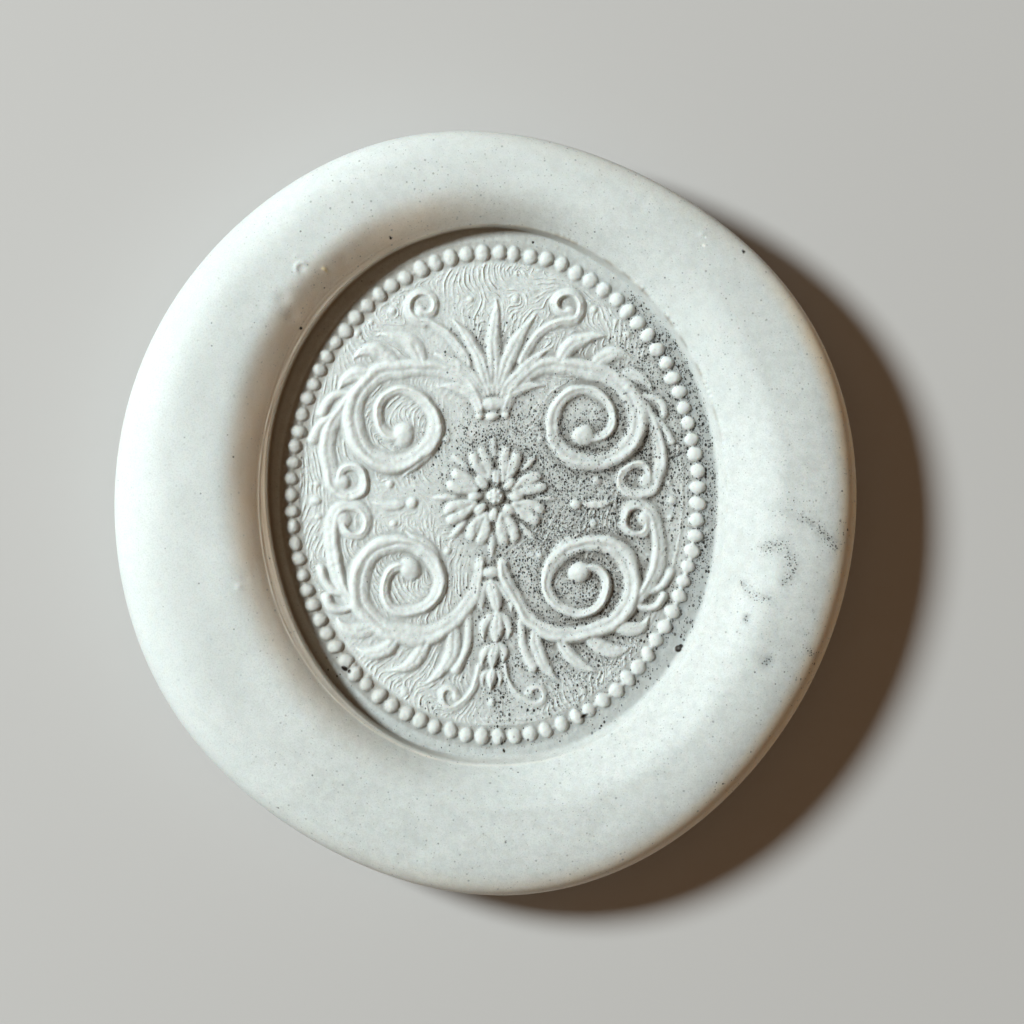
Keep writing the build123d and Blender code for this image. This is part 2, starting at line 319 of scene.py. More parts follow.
def bead_border(b):
    t = np.linspace(0, TAU, 20001)
    s = np.r_[0, np.cumsum(np.hypot(np.diff(BEAD_A * np.cos(t)), np.diff(BEAD_B * np.sin(t))))]
    g = np.random.default_rng(7)
    line = []
    for i in range(BEADS):
        q = np.interp(s[-1] * (i + 0.5 + 0.03 * g.standard_normal()) / BEADS, s, t)
        n = np.array((np.cos(q) / BEAD_A, np.sin(q) / BEAD_B))
        n /= np.linalg.norm(n)
        c = np.array((BEAD_A * np.cos(q), BEAD_B * np.sin(q))) + n * 0.02 * g.standard_normal()
        k, w = 1.02 + 0.040 * g.standard_normal(2)
        if g.random() < 0.07:
            k *= 0.86
        long = abs(np.sin(q))
        b.dome(*c, (0.352 + 0.034 * long) * k, (0.334 - 0.008 * long) * w, 0.215 * k, ang=np.arctan2(n[1], n[0]) + 0.15 * g.standard_normal())
        line.append(c)
    b.stroke(np.array(line + line[:1]), 0.10, 0.045)  # the thin web from bead to bead
    b.stroke(np.array(line[71:85]), 0.13, 0.075)  # at the lower right they nearly run together
    b.dome(8.65, -7.23, 0.17, 0.16, 0.13, ang=0.4)  # a crumb
    part = np.array(line[64:] + line[:4])
    for k, w, h in ((0.928, 0.060, 0.030), (0.951, 0.045, 0.020)):  # fine lines that follow them inside
        b.stroke(k * part + 0.015 * g.standard_normal(part.shape), w, h)


def nearest(mask):
    """Distance in millimetres to the nearest marked cell, by jump flooding on every second cell."""
    m = mask[::2, ::2]
    h, w = m.shape
    jj, ii = np.meshgrid(np.arange(h, dtype=np.float32), np.arange(w, dtype=np.float32), indexing="ij")
    sj, si = np.where(m, jj, -9e3).astype(np.float32), np.where(m, ii, -9e3).astype(np.float32)
    best = (sj - jj) ** 2 + (si - ii) ** 2
    k = 512
    while k >= 1:
        for dj in (-k, 0, k):
            for di in (-k, 0, k):
                if dj or di:
                    cj, ci = np.roll(sj, (dj, di), (0, 1)), np.roll(si, (dj, di), (0, 1))
                    d = (cj - jj) ** 2 + (ci - ii) ** 2
                    near = d < best
                    best = np.where(near, d, best)
                    sj, si = np.where(near, cj, sj), np.where(near, ci, si)
        k //= 2
    d = np.sqrt(best) * 2 * RES
    return np.repeat(np.repeat(d, 2, 0), 2, 1)[: mask.shape[0], : mask.shape[1]]


def look(board, u, v):
    """Bilinear reading of a board."""
    x = np.clip((u + UMAX) / RES, 0, NU - 1.001)
    y = np.clip((v + VMAX) / RES, 0, NV - 1.001)
    i, j = x.astype(int), y.astype(int)
    fx, fy = x - i, y - j
    return (
        board[j, i] * (1 - fx) * (1 - fy) + board[j, i + 1] * fx * (1 - fy)
        + board[j + 1, i] * (1 - fx) * fy + board[j + 1, i + 1] * fx * fy
    )


def warp(z, mm, amount, seed):
    """The small unevenness of a hand-cut die."""
    return look(z, U[None, :] + amount * noise(mm, seed), V[:, None] + amount * noise(mm, seed + 1)).astype(np.float32)


def grain_of(d):
    """Levels whose lines the scraper followed: mostly upright, wandering, bent round the raised work."""
    return (0.55 * U[None, :] + 0.85 * noise(3.6, 3) + 0.35 * (1 - np.exp(-d / 0.45))).astype(np.float32)


LINE_GAP = 0.25


def hairs(d, grain):
    """Fine raised lines that the scraper left, side by side over the open ground."""
    g = np.random.default_rng(17)
    h = 2 * RES
    dd = d[::2, ::2]
    gv, gu = np.gradient(blur(grain, 0.10)[::2, ::2], h)
    ang = np.arctan2(gu, -gv)
    ring = np.hypot(U[::2][None, :] / BEAD_A, V[::2][:, None] / BEAD_B)
    clear = (dd > 0.07) & (ring < 0.955)
    busy = ~clear
    disc = np.hypot(*np.mgrid[-4:5, -4:5]) <= 3.1
    strength = ramp(noise(2.0, 5), -1.1, 0.5)
    out = Board(1.0)
    for _ in range(16000):
        u, v = g.uniform(-9.3, 9.3), g.uniform(-11.1, 11.1)
        i, j = int((u + UMAX) / h), int((v + VMAX) / h)
        reach = g.uniform(0.15, 1.5)
        if busy[j, i]:
            continue
        line = [(u, v)]
        for turn in (0.0, np.pi):
            a, x, y, bent = ang[j, i] + turn, u, v, 0.0
            for _ in range(int(reach / 0.05)):
                x, y = x + 0.05 * np.cos(a), y + 0.05 * np.sin(a)
                ii, jj = int((x + UMAX) / h), int((y + VMAX) / h)
                b = ang[jj, ii]
                b = b if np.cos(b - a) > 0 else b + np.pi
                bend = np.arctan2(np.sin(b - a), np.cos(b - a))
                bent += bend
                if busy[jj, ii] or abs(bend) > 0.5 or abs(bent) > 0.9:
                    break
                a = b
                if turn:
                    line.insert(0, (x, y))
                else:
                    line.append((x, y))
        if len(line) < 6:
            continue
        for x, y in line:
            ii, jj = int((x + UMAX) / h), int((y + VMAX) / h)
            busy[jj - 4: jj + 5, ii - 4: ii + 5] |= disc
        top = (0.060 if g.random() < 0.45 else 0.034) * g.uniform(0.6, 1.15) * (0.22 + 0.78 * strength[min(NV - 1, 2 * j), min(NU - 1, 2 * i)])
        ph = g.uniform(0, TAU)
        line = np.array(line) + 0.010 * np.convolve(g.standard_normal(len(line) + 4), np.ones(5) / 5, "valid")[:, None]
        out.stroke(
            line, g.uniform(0.052, 0.068),
            lambda f: top * np.minimum(1, 6 * np.minimum(f, 1 - f) + 0.15) * (0.75 + 0.25 * np.sin(11 * f + ph)),
        )
    return blur(out.z, 0.009)


def draw_field():
    b = Ornament().draw()
    work = warp(warp(b.height(), 1.3, 0.05, 61), 0.5, 0.02, 63)
    work = 0.49 * work * (1 + 0.13 * noise(1.4, 65))
    border = Board(0.50)
    bead_border(border)
    border.z = warp(warp(border.z, 0.60, 0.022, 71), 0.26, 0.009, 73)
    z = np.maximum(blur(work, 0.035), blur(border.z, 0.022))
    raised = ramp(z, 0.03, 0.12)
    d = blur(nearest(z > 0.035), 0.10)
    # pits and drag left in the wax
    fine = (0.0050 + 0.0020 * raised) * noise(0.15, 8) + (0.0040 + 0.0075 * raised) * noise(0.42, 9)
    swell = 0.03 * noise(4.5, 10)
    e_ring = (np.hypot(U[None, :] / BEAD_A, V[:, None] / BEAD_B) - 1) * 10.4
    inside = ramp(-e_ring, 0.35, 0.6)
    grain = grain_of(d)
    z = z + (hairs(d, grain) + fine + swell * inside)
    gv, gu = np.gradient(blur(grain, 0.06), RES)
    pitch = -np.log2(LINE_GAP * np.clip(np.hypot(gu, gv), 0.10, 4.0))
    drawn = (0.15 + 0.85 * ramp(noise(2.3, 5), -1.0, 0.3)) * ramp(d, 0.05, 0.14) * ramp(-e_ring, 0.40, 0.60)
    clean = np.maximum(ramp(border.z, 0.03, 0.09), 0.92 * ramp(work, 0.045, 0.15))
    return [b.astype(np.float32) for b in (z, clean, grain, pitch, drawn)]


FIELD, CLEAN, GRAIN, PITCH, DRAWN = draw_field()


# =====================================================================
# The wax: one closed mesh
# =====================================================================
def edge_xy(a):
    r = EDGE_R + sum(c * np.cos((k + 1) * a) + s * np.sin((k + 1) * a) for k, (c, s) in enumerate(EDGE_WAVES))
    return np.stack([r * np.cos(a), r * np.sin(a)], -1)


_dense = edge_xy(np.linspace(0, TAU, 3600, endpoint=False))
EDGE_SHIFT = (_dense.max(0) + _dense.min(0)) / 2


def round_the_oval(*keys):
    """A smooth periodic value from eight keys: right, top right, top, top left, left, bottom left, bottom, bottom right."""
    c = np.fft.rfft(keys) / 8

    def value(t):
        v = c[0].real + 0 * t
        for k in (1, 2, 3):
            v = v + 2 * (c[k].real * np.cos(k * t) - c[k].imag * np.sin(k * t))
        return v + c[4].real * np.cos(4 * t)

    return value


def keyed(*keys):
    """A periodic value through evenly spaced keys, the first at the right, without overshoot."""
    y = np.array(keys, float)
    n = len(y)
    d = np.roll(y, -1) - y
    b = np.roll(d, 1)
    same = d * b > 0
    m = np.where(same, 2 * d * b / np.where(same, d + b, 1), 0.0)

    def value(t):
        q = np.mod(t, TAU) / TAU * n
        f = q - np.floor(q)
        i = np.floor(q).astype(int) % n
        j = (i + 1) % n
        return (1 - f) ** 2 * (y[i] * (1 + 2 * f) + m[i] * f) + f * f * (y[j] * (3 - 2 * f) + m[j] * (f - 1))

    return value


CREST_AT = round_the_oval(0.55, 0.51, 0.49, 0.51, 0.58, 0.59, 0.65, 0.55)   # from the outer edge, part of the rim's width
CREST_Z = round_the_oval(3.98, 3.96, 4.05, 4.17, 4.19, 4.14, 3.98, 3.95)
LIP_Z = round_the_oval(2.72, 2.84, 2.86, 2.90, 2.98, 2.96, 2.60, 2.75)
BULGE = keyed(4.8, 11.0, 8.5, 3.1, 2.6, 3.8, 4.6, 4.4)              # how full the outer side is
DISH = round_the_oval(1.70, 1.95, 2.15, 2.1, 2.75, 2.9, 1.85, 1.71)         # how the inner side falls to the lip
DROOP = keyed(0.25, 0.46, 0.56, 0.38, 0.07, 0.0, 0.03, 0.20)                # how far the top leans down to the outer edge
# foot and lip of the wall, outwards from the line of beads, every 15 degrees
FOOT_E = keyed(
    0.91, 0.92, 0.96, 0.89, 0.90, 1.03, 1.17, 1.20, 1.28, 1.30, 1.28, 1.20,
    1.07, 1.01, 1.08, 1.14, 1.13, 1.05, 0.85, 1.03, 1.13, 1.20, 1.19, 1.02,
)
LIP_E = keyed(
    1.34, 1.30, 1.24, 1.18, 1.16, 1.21, 1.22, 1.23, 1.30, 1.32, 1.30, 1.22,
    1.09, 1.03, 1.10, 1.18, 1.23, 1.25, 1.22, 1.35, 1.45, 1.52, 1.52, 1.42,
)
SOFT = keyed(0.08, 0.06, 0.012, 0.006, 0.006, 0.012, 0.05, 0.08)             # how round its corners are
SHARP = keyed(0.0, 0.1, 0.75, 1.0, 1.0, 1.0, 0.5, 0.0)
RAGGED = keyed(0.25, 0.8, 1.0, 0.9, 0.45, 0.1, 0.0, 0.0, 0.0, 0.0, 0.0, 0.0, 0.0, 0.05, 0.1, 0.2)
EVEN = keyed(0.0, 0.0, 0.0, 0.0, 0.0, 0.28, 1.0, 0.48, 0.18, 0.0, 0.0, 0.0, 0.0, 0.0, 0.0, 0.0)   # where the inner side falls evenly to the lip
LEDGE = keyed(0.0, 0.0, 0.0, 0.0, 0.0, 0.03, 0.07, 0.15, 0.31, 0.42, 0.28, 0.15, 0.06, 0.0, 0.0, 0.0)   # where the die's shoulder flattened the slope


def wander(t, seed, waves, lo):
    """Seeded unevenness round the oval."""
    g = np.random.default_rng(seed)
    v = 0 * t
    for k in range(lo, lo + waves):
        v = v + g.standard_normal() * np.cos(k * t + g.uniform(0, TAU)) / np.sqrt(waves)
    return v


def floor_z(x, y):
    """The die went in a little deeper on the left."""
    return FIELD_H + 0.012 * (x - OVAL[0]) - 0.004 * (y - OVAL[1])


_edge_a = np.linspace(0, TAU, 7200, endpoint=False)
_edge_p = edge_xy(_edge_a) - EDGE_SHIFT
_edge_t = np.unwrap(np.arctan2((_edge_p[:, 1] - OVAL[1]) / (BEAD_B + 1.25), (_edge_p[:, 0] - OVAL[0]) / (BEAD_A + 1.25)))


def outer(t):
    """Point of the widest outline on the ray of parameter t."""
    t = np.mod(t - _edge_t[0], TAU) + _edge_t[0]
    a = np.interp(t, np.r_[_edge_t, _edge_t[0] + TAU], np.r_[_edge_a, TAU])
    return edge_xy(a) - EDGE_SHIFT


def on_ring(t, e):
    return OVAL + np.stack([(BEAD_A + e) * np.cos(t), (BEAD_B + e) * np.sin(t)], -1)


def profile(keys, s, width):
    """Height above the wax underside at the distance s outwards from the lip, before rounding."""
    wall, zf, zl, zc, fc, bulge, dish, ledge, droop, even = keys
    f = np.clip(1 - np.maximum(s, ledge) / width, 0, 1)
    up = np.clip(1 + s / wall, 0, 1)
    x = np.clip((f - fc) / (1 - ledge / width - fc), 0, 1)
    u = np.clip((x - 0.20) / 0.44, 0, 1)
    straight = 0.9 / 0.58 * (0.44 * (u**3 - 0.5 * u**4) + np.maximum(x - 0.64, 0)) + 0.1 * x * x
    fall = (1 - even) * x**dish + even * straight
    inner = zc - (zc - zl - 0.6 * ledge) * fall - 0.6 * np.clip(ledge - s, 0, ledge)
    far = np.clip(1 - f / fc, 0, 1)
    out = BELLY_H + (zc - BELLY_H - droop * far**2.5) * np.clip(1 - far**bulge, 0, 1) ** (1 / bulge)
    return np.where(s < 0, zf + (zl - zf) * up, np.where(f > fc, inner, out))


G_X = np.linspace(-2.4, 2.4, 13)
G_W = np.exp(-0.5 * G_X**2)
G_W /= G_W.sum()


def top_z(t, s, width):
    """Rounded height: crisp at the lip where the die cut deep, soft where the wax flowed."""
    p = on_ring(t, FOOT_E(t))
    keys = (
        LIP_E(t) - FOOT_E(t), floor_z(p[..., 0], p[..., 1]), LIP_Z(t), CREST_Z(t), CREST_AT(t), BULGE(t), DISH(t),
        np.clip(LEDGE(t), 0, 1), DROOP(t), EVEN(t),
    )
    soft = (SOFT(t) + 0.065 * ramp(s, 0.10, 0.26)) * np.clip((width - s) / 1.2, 0.02, 1)
    z = 0
    for gx, gw in zip(G_X, G_W):
        z = z + gw * profile(keys, s + gx * soft, width)
    sharp = SHARP(t)
    burr = 0.008 * sharp * (1 + 0.6 * wander(t, 21, 30, 8)) * np.exp(-(((s - 0.06) / 0.06) ** 2))
    lines = 0.0022 * sharp * np.cos(TAU * (s / 0.17 + 0.3 * wander(t, 22, 12, 2))) * np.exp(-(((s - 0.25) / 0.25) ** 2))
    shelf = np.clip(LEDGE(t), 0, 1)
    ridge = 0.020 * np.clip(shelf / 0.2, 0, 1) * (1 + 0.3 * wander(t, 23, 40, 6)) * np.exp(-(((s - shelf) / 0.042) ** 2))
    return z + burr + lines + ridge


def rim_waves(x, y, t, s, width):
    """Slow swells and small dents of the poured rim."""
    a = np.arctan2(y, x)
    r = np.hypot(x, y)
    on = ramp(s, 0.15, 1.4) * np.clip((width - s) / 1.5, 0, 1) ** 0.7
    w = 0.035 * np.sin(3 * a + 0.9 * r + 0.4) * np.sin(2 * a - 0.5 * r + 1.1)
    w = w + 0.020 * np.sin(7 * a + 0.4 * r) + 0.012 * np.sin(13 * a - 1.1 * r + 2.0) + 0.007 * np.sin(23 * a + 1.7 * r)
    return w * on


def pix(px, py):
    """Picture point to the part's frame, in millimetres."""
    return (px - 484.925) / 21.2, (513.5 - py) / 21.2


# dents, bubbles and nicks of the rim: place, radius, depth (+ is proud)
DENTS = [
    (286, 301, 0.48, -0.075), (295, 318, 0.40, -0.030), (299.7, 260, 0.16, 0.02), (326.7, 272.3, 0.14, 0.05), (345, 262, 0.5, -0.02), (243, 586, 0.22, 0.045), (250, 577, 0.30, -0.02),
    (745, 618, 0.42, -0.05), (763, 660, 0.50, -0.055), (757, 575, 0.8, -0.05), (775, 548, 0.55, -0.04), (722, 700, 0.6, -0.03),
    (700, 238, 0.20, 0.03), (640, 210, 0.5, -0.02), (180, 470, 0.9, -0.03), (214, 706, 0.8, -0.03), (420, 845, 0.9, -0.035),
    (600, 820, 0.7, -0.03), (815, 470, 0.6, -0.03), (560, 172, 0.6, -0.025),
]


def dents(x, y):
    z = 0 * x
    for px, py, r, d in DENTS:
        cx, cy = pix(px, py)
        z = z + d * np.exp(-((x - cx) ** 2 + (y - cy) ** 2) / (0.5 * r * r))
    # a broken bubble: a crescent wall round a small pit
    cx, cy = pix(305, 272)
    dx, dy = x - cx, y - cy
    r = np.hypot(dx, dy)
    side = ramp(np.cos(np.arctan2(dy, dx) - 2.3), -0.5, 0.6)
    z = z + 0.060 * side * np.exp(-(((r - 0.27) / 0.085) ** 2)) - 0.05 * np.exp(-((r / 0.19) ** 2))
    return z


N = 640
M = 4 * N


def build_wax():
    verts, quads, tris = [], [], []
    uvs = []

    # ---- the pressed field, on a grid folded into the oval
    a = np.linspace(-1, 1, N + 1)
    aa, bb = np.meshgrid(a, a)
    wide = np.abs(aa) >= np.abs(bb)
    with np.errstate(divide="ignore", invalid="ignore"):
        r = np.where(wide, aa, bb)
        phi = np.where(wide, np.pi / 4 * bb / aa, np.pi / 2 - np.pi / 4 * aa / bb)
    phi = np.nan_to_num(phi)
    t = np.where(r < 0, phi + np.pi, phi)
    r = np.abs(r)
    foot = FOOT_E(t)
    x = OVAL[0] + r * (BEAD_A + foot) * np.cos(t)
    y = OVAL[1] + r * (BEAD_B + foot) * np.sin(t)
    size = np.hypot((BEAD_A + foot) * np.cos(t), (BEAD_B + foot) * np.sin(t))
    width = np.linalg.norm(outer(t) - on_ring(t, LIP_E(t)), axis=-1)
    s = -(LIP_E(t) - foot) - (1 - r) * size
    flat = floor_z(x, y)
    near_wall = ramp(s, -1.6, -1.0)
    p = on_ring(t, foot)
    lift = top_z(t, s, width) - floor_z(p[..., 0], p[..., 1])
    z = flat + np.where(near_wall > 0, lift, 0) * near_wall + look(FIELD, x - OVAL[0], y - OVAL[1])
    verts.append(np.stack([x, y, z], -1).reshape(-1, 3))
    uvs.append(np.stack([x - OVAL[0], y - OVAL[1]], -1).reshape(-1, 2))
    k = np.arange((N + 1) ** 2).reshape(N + 1, N + 1)
    quads.append(np.stack([k[:-1, :-1], k[:-1, 1:], k[1:, 1:], k[1:, :-1]], -1).reshape(-1, 4))
    ring = np.r_[k[:-1, N], k[N, N:0:-1], k[N:0:-1, 0], k[0, :-1]]
    count = (N + 1) ** 2

    # ---- wall, lip, rim, outer edge and underside, as rings
    ang = -np.pi / 4 + TAU * np.arange(M) / M
    last_p = verts[0][ring]
    rho = np.linalg.norm(last_p[:, :2] - OVAL, axis=1)
    step = 1

    def add_ring(p3, new_uv=None):
        nonlocal count, ring, last_p, rho
        m = len(p3)
        new = count + np.arange(m)
        verts.append(p3)
        if new_uv is None:
            if m == len(last_p):
                rho = rho + np.linalg.norm(p3 - last_p, axis=1)
            else:
                rho = rho[::2] + np.linalg.norm(p3 - last_p[::2], axis=1)
            d = p3[:, :2] - OVAL
            d = d / np.linalg.norm(d, axis=1)[:, None]
            uvs.append(d * rho[:, None])
        else:
            uvs.append(new_uv)
        n = len(ring)
        if m == n:
            quads.append(np.stack([ring, new, np.roll(new, -1), np.roll(ring, -1)], -1))
        else:
            i0, i1, i2 = ring[0::2], ring[1::2], np.roll(ring, -2)[0::2]
            o0, o1 = new, np.roll(new, -1)
            tris.append(np.stack([i0, o0, i1], -1))
            tris.append(np.stack([i1, o0, o1], -1))
            tris.append(np.stack([i1, o1, i2], -1))
        ring, last_p = new, p3
        count += m

    def rim_ring(t, s):
        lip = on_ring(t, LIP_E(t))
        out = outer(t)
        width = np.linalg.norm(out - lip, axis=-1)
        s = s * np.ones_like(t)
        p = np.where((s < 0)[:, None], on_ring(t, LIP_E(t) + s), lip + (out - lip) * (s / width)[:, None])
        z = top_z(t, s, width)
        rough = 0.5 * (wander(t, 31, 60, 20) * 0.018 + wander(t, 32, 120, 80) * 0.010) * np.exp(-((s / 0.45) ** 2))
        z = z + rough * (1.15 - SHARP(t))
        # the ragged edge at the upper right, where the die dragged the wax
        z = z + RAGGED(t) * 0.016 * np.clip(0.35 + wander(t, 36, 30, 7), 0, 1.6) * (wander(t, 33, 120, 40) + 0.9 * wander(t, 34, 220, 160)) * np.exp(-(((s - 0.02) / 0.10) ** 2))
        z = z + rim_waves(p[:, 0], p[:, 1], t, s, width) + dents(p[:, 0], p[:, 1]) * ramp(width - s, 0.0, 0.6)
        return np.c_[p, z]

    wall = LIP_E(ang) - FOOT_E(ang)
    for x in (0.10, 0.20, 0.32, 0.45, 0.58, 0.70, 0.80, 0.88, 0.95, 1.0):
        add_ring(rim_ring(ang, -wall * (1 - x)))
    for s in (0.03, 0.06, 0.09, 0.12, 0.15, 0.18, 0.21, 0.24, 0.27, 0.30, 0.33, 0.36, 0.39, 0.42, 0.45, 0.48, 0.52, 0.58, 0.66, 0.76, 0.88):
        add_ring(rim_ring(ang, s))
    ang = ang[::2]
    full = np.linalg.norm(outer(ang) - on_ring(ang, LIP_E(ang)), axis=-1)
    # rows run even over the rim and close up towards the outer edge
    for q in np.linspace(0, 1, 74)[1:]:
        g = np.sin(q * np.pi / 2) ** 1.0 * 0.55 + q * 0.45
        add_ring(rim_ring(ang, 1.0 + (full - 1.0) * min(g, 1.0)))
    edge = last_p[:, :2]
    radial = edge / np.linalg.norm(edge, axis=1)[:, None]
    a = np.arctan2(edge[:, 1], edge[:, 0])
    puddle = 0.08 * np.sin(5 * a + 1.0) + 0.05 * np.sin(11 * a)
    for h, inset in [(1.22, 0.006), (1.08, 0.022), (0.94, 0.05), (0.80, 0.095), (0.67, 0.15), (0.55, 0.22), (0.44, 0.30), (0.34, 0.40), (0.25, 0.52), (0.17, 0.66), (0.10, 0.83), (0.05, 1.0), (0.015, 1.17), (0.0, 1.32)]:
        inset = inset * (1 + 1.2 * puddle * ramp(1.35 - h, 0.2, 1.2))
        add_ring(np.c_[edge - radial * np.reshape(inset, (-1, 1)), np.full(len(edge), h)])
    # the flat underside has a place of its own on the map
    rim_island = count
    first_under = len(verts)
    under_edge = last_p[:, :2]
    half = len(quads), len(tris)
    far = np.array((23.5, 23.5))
    shade = 0.478
    sizes = (0.97, 0.93, 0.87)
    for k in sizes:
        p = under_edge * k
        add_ring(np.c_[p, np.zeros(len(p))], far + p * shade)
    p = under_edge[::2] * 0.80
    add_ring(np.c_[p, np.zeros(len(p))], far + p * shade)
    for k in (0.70, 0.60):
        p = under_edge[::2] * k
        add_ring(np.c_[p, np.zeros(len(p))], far + p * shade)
    p = under_edge[::4] * 0.48
    add_ring(np.c_[p, np.zeros(len(p))], far + p * shade)
    p = under_edge[::8][: len(ring) // 2] * 0.36
    add_ring(np.c_[p, np.zeros(len(p))], far + p * shade)
    p = under_edge[::8][: len(ring)] * 0.18
    add_ring(np.c_[p, np.zeros(len(p))], far + p * shade)
    verts.append(np.zeros((1, 3)))
    uvs.append(far[None, :])
    tris.append(np.stack([ring, np.full(len(ring), count), np.roll(ring, -1)], -1))

    v = np.concatenate(verts)
    v[:, 2] += Z_WAX
    uv = np.concatenate(uvs)
    q, tr = np.concatenate(quads), np.concatenate(tris)
    # faces of the underside read the last rim ring at its place on the underside's map
    under_uv = uv.copy()
    lo = rim_island - len(under_edge)
    under_uv[lo:rim_island] = far + v[lo:rim_island, :2] * shade
    return v, q, tr, uv, under_uv, rim_island


def mesh_from(name, v, quads, tris):
    me = bpy.data.meshes.new(name)
    nq, nt = len(quads), len(tris)
    me.vertices.add(len(v))
    me.vertices.foreach_set("co", (v * MM).astype(np.float32).ravel())
    loops = np.r_[quads.ravel(), tris.ravel()].astype(np.int32)
    me.loops.add(len(loops))
    me.loops.foreach_set("vertex_index", loops)
    me.polygons.add(nq + nt)
    start = np.r_[np.arange(nq) * 4, nq * 4 + np.arange(nt) * 3].astype(np.int32)
    me.polygons.foreach_set("loop_start", start)
    me.update(calc_edges=True)
    me.validate()
    me.polygons.foreach_set("use_smooth", np.ones(len(me.polygons), bool))
    me.update()
    ob = bpy.data.objects.new(name, me)
    bpy.context.scene.collection.objects.link(ob)
    return ob


def put(me, name, values):
    me.attributes.new(name, "FLOAT", "POINT").data.foreach_set("value", np.asarray(values, np.float32))


def blob(x, y, px, py, rx, ry, k, turn=0.0):
    cx, cy = pix(px, py)
    dx, dy = x - cx, y - cy
    c, s = math.cos(turn), math.sin(turn)
    rx, ry = rx / 21.2, ry / 21.2
    return k * np.exp(-(((dx * c + dy * s) / rx) ** 2 + ((-dx * s + dy * c) / ry) ** 2))


BAND_DUST = keyed(
    0.90, 0.92, 0.92, 0.56, 0.06, 0.04, 0.03, 0.0, 0.0, 0.0, 0.0, 0.0,
    0.0, 0.0, 0.03, 0.06, 0.06, 0.10, 0.14, 0.10, 0.10, 0.15, 0.32, 0.68,
)
BAND_VEIL = keyed(
    1.12, 1.12, 1.16, 0.98, 0.60, 0.34, 0.18, 0.0, 0.0, 0.0, 0.0, 0.0,
    0.0, 0.06, 0.40, 0.80, 0.86, 0.80, 0.76, 0.78, 0.88, 1.10, 1.30, 1.22,
)


def oval_place(x, y):
    """Angle round the oval, and distance outwards from the line of beads."""
    u, v = x - OVAL[0], y - OVAL[1]
    t = np.arctan2(v / BEAD_B, u / BEAD_A)
    return u, v, t, (np.hypot(u / BEAD_A, v / BEAD_B) - 1) * np.hypot(BEAD_A * np.cos(t), BEAD_B * np.sin(t))


def dust_and_lee_shade_on(x, y):
    """Where dark powder has settled, with more on the side of the relief away from the light as painted shadow, 0 to 1.
    """
    u, v, t, e = oval_place(x, y)
    d = blob(x, y, 552, 555, 66, 108, 1.0) + blob(x, y, 505, 452, 62, 46, 0.9) + blob(x, y, 560, 470, 62, 47, 0.85)
    d = d + blob(x, y, 640, 480, 48, 64, 0.60) + blob(x, y, 486, 352, 34, 26, 0.55) + blob(x, y, 499, 678, 13, 44, 0.75) + blob(x, y, 545, 672, 52, 36, 0.22) + blob(x, y, 440, 708, 16, 8, 0.35)
    d = d + blob(x, y, 650, 430, 52, 74, 0.85) + blob(x, y, 610, 620, 44, 64, 0.50) + blob(x, y, 640, 360, 30, 40, 0.4)
    side = ramp(np.cos(t - 0.25), 0.55, 0.95)
    d = d + 0.32 * side * ramp(e, -0.9, -0.1)
    d = d * (1 - ramp(e, -0.1, 0.2)) + 0.95 * BAND_DUST(t) * ramp(e, -0.2, 0.2) * (1 - ramp(e - FOOT_E(t), -0.12, 0.12))
    # more powder, and painted shadow, on the side of the relief away from the light
    lee_and_shadow_side = look(CLEAN, u - 0.26, v + 0.11)
    d = 0.96 * d * (1 + 0.35 * lee_and_shadow_side) * (1 - 0.97 * look(CLEAN, u, v))
    for s in [(836, 530, 10, 9, 0.16), (800, 640, 30, 40, 0.06), (812, 700, 22, 40, 0.07), (742, 640, 30, 30, 0.04), (790, 505, 30, 22, 0.07), (735, 780, 34, 18, 0.10)]:
        d = d + blob(x, y, *s)
    return np.clip(d, 0, 1)


def smear_on(x, y):
    """Grey finger marks of the same powder on the rim."""
    d = 0 * x
    for pts, w, k in [
        ([(799, 518), (810, 524), (822, 537), (832, 547)], 6.5, 1.0), ([(763, 548), (776, 544), (787, 557), (789, 570), (782, 582)], 7.0, 0.95), ([(805, 649), (810, 653)], 4.5, 0.85),
        ([(741, 582), (747, 591), (757, 596), (766, 598)], 5.5, 0.9), ([(744, 615), (743, 620)], 3.4, 1.0), ([(762, 662), (766, 657)], 5.0, 1.0),
        ([(772, 508), (790, 514)], 6.0, 0.35), ([(838, 524), (842, 540)], 4.0, 0.25), ([(770, 640), (790, 652)], 9.0, 0.25), ([(838, 462), (846, 480)], 6.0, 0.3),
    ]:
        near = 99.0
        for (ax, ay), (bx, by) in zip(pts[:-1], pts[1:]):
            (ax, ay), (bx, by) = pix(ax, ay), pix(bx, by)
            f = np.clip(((x - ax) * (bx - ax) + (y - ay) * (by - ay)) / ((bx - ax) ** 2 + (by - ay) ** 2), 0, 1)
            near = np.minimum(near, np.hypot(x - ax - f * (bx - ax), y - ay - f * (by - ay)))
        d = np.maximum(d, k * np.exp(-((near * 21.2 / w) ** 2)))
    return np.clip(d, 0, 1)


def soot_on(x, y):
    """Single dark crumbs and pin holes."""
    d = 0 * x
    for px, py, rx, ry, turn in [
        (677.6, 648.2, 3.7, 3.4, 0.4), (680.5, 645.5, 2.2, 2.0, 0.0), (345, 668, 3.6, 2.4, -0.6), (350, 671, 2.0, 2.0, 0.0), (584, 715, 5.0, 1.6, 0.5), (501.5, 740, 1.6, 4.5, 0.1), (504, 750, 1.3, 2.0, 0.4), (514, 736, 1.1, 1.1, 0.0), (528, 739, 1.3, 1.2, 0.0),
        (533, 243, 1.25, 1.25, 0.0), (741, 255, 1.7, 1.7, 0.0), (303, 330, 1.5, 1.5, 0.0), (392, 241, 1.4, 1.4, 0.0),
    ]:
        d = np.maximum(d, blob(x, y, px, py, rx, ry, 1.6, turn))
    return np.clip((d - 0.45) * 3, 0, 1) - blob(x, y, 678.2, 647.4, 1.5, 1.6, 0.26)


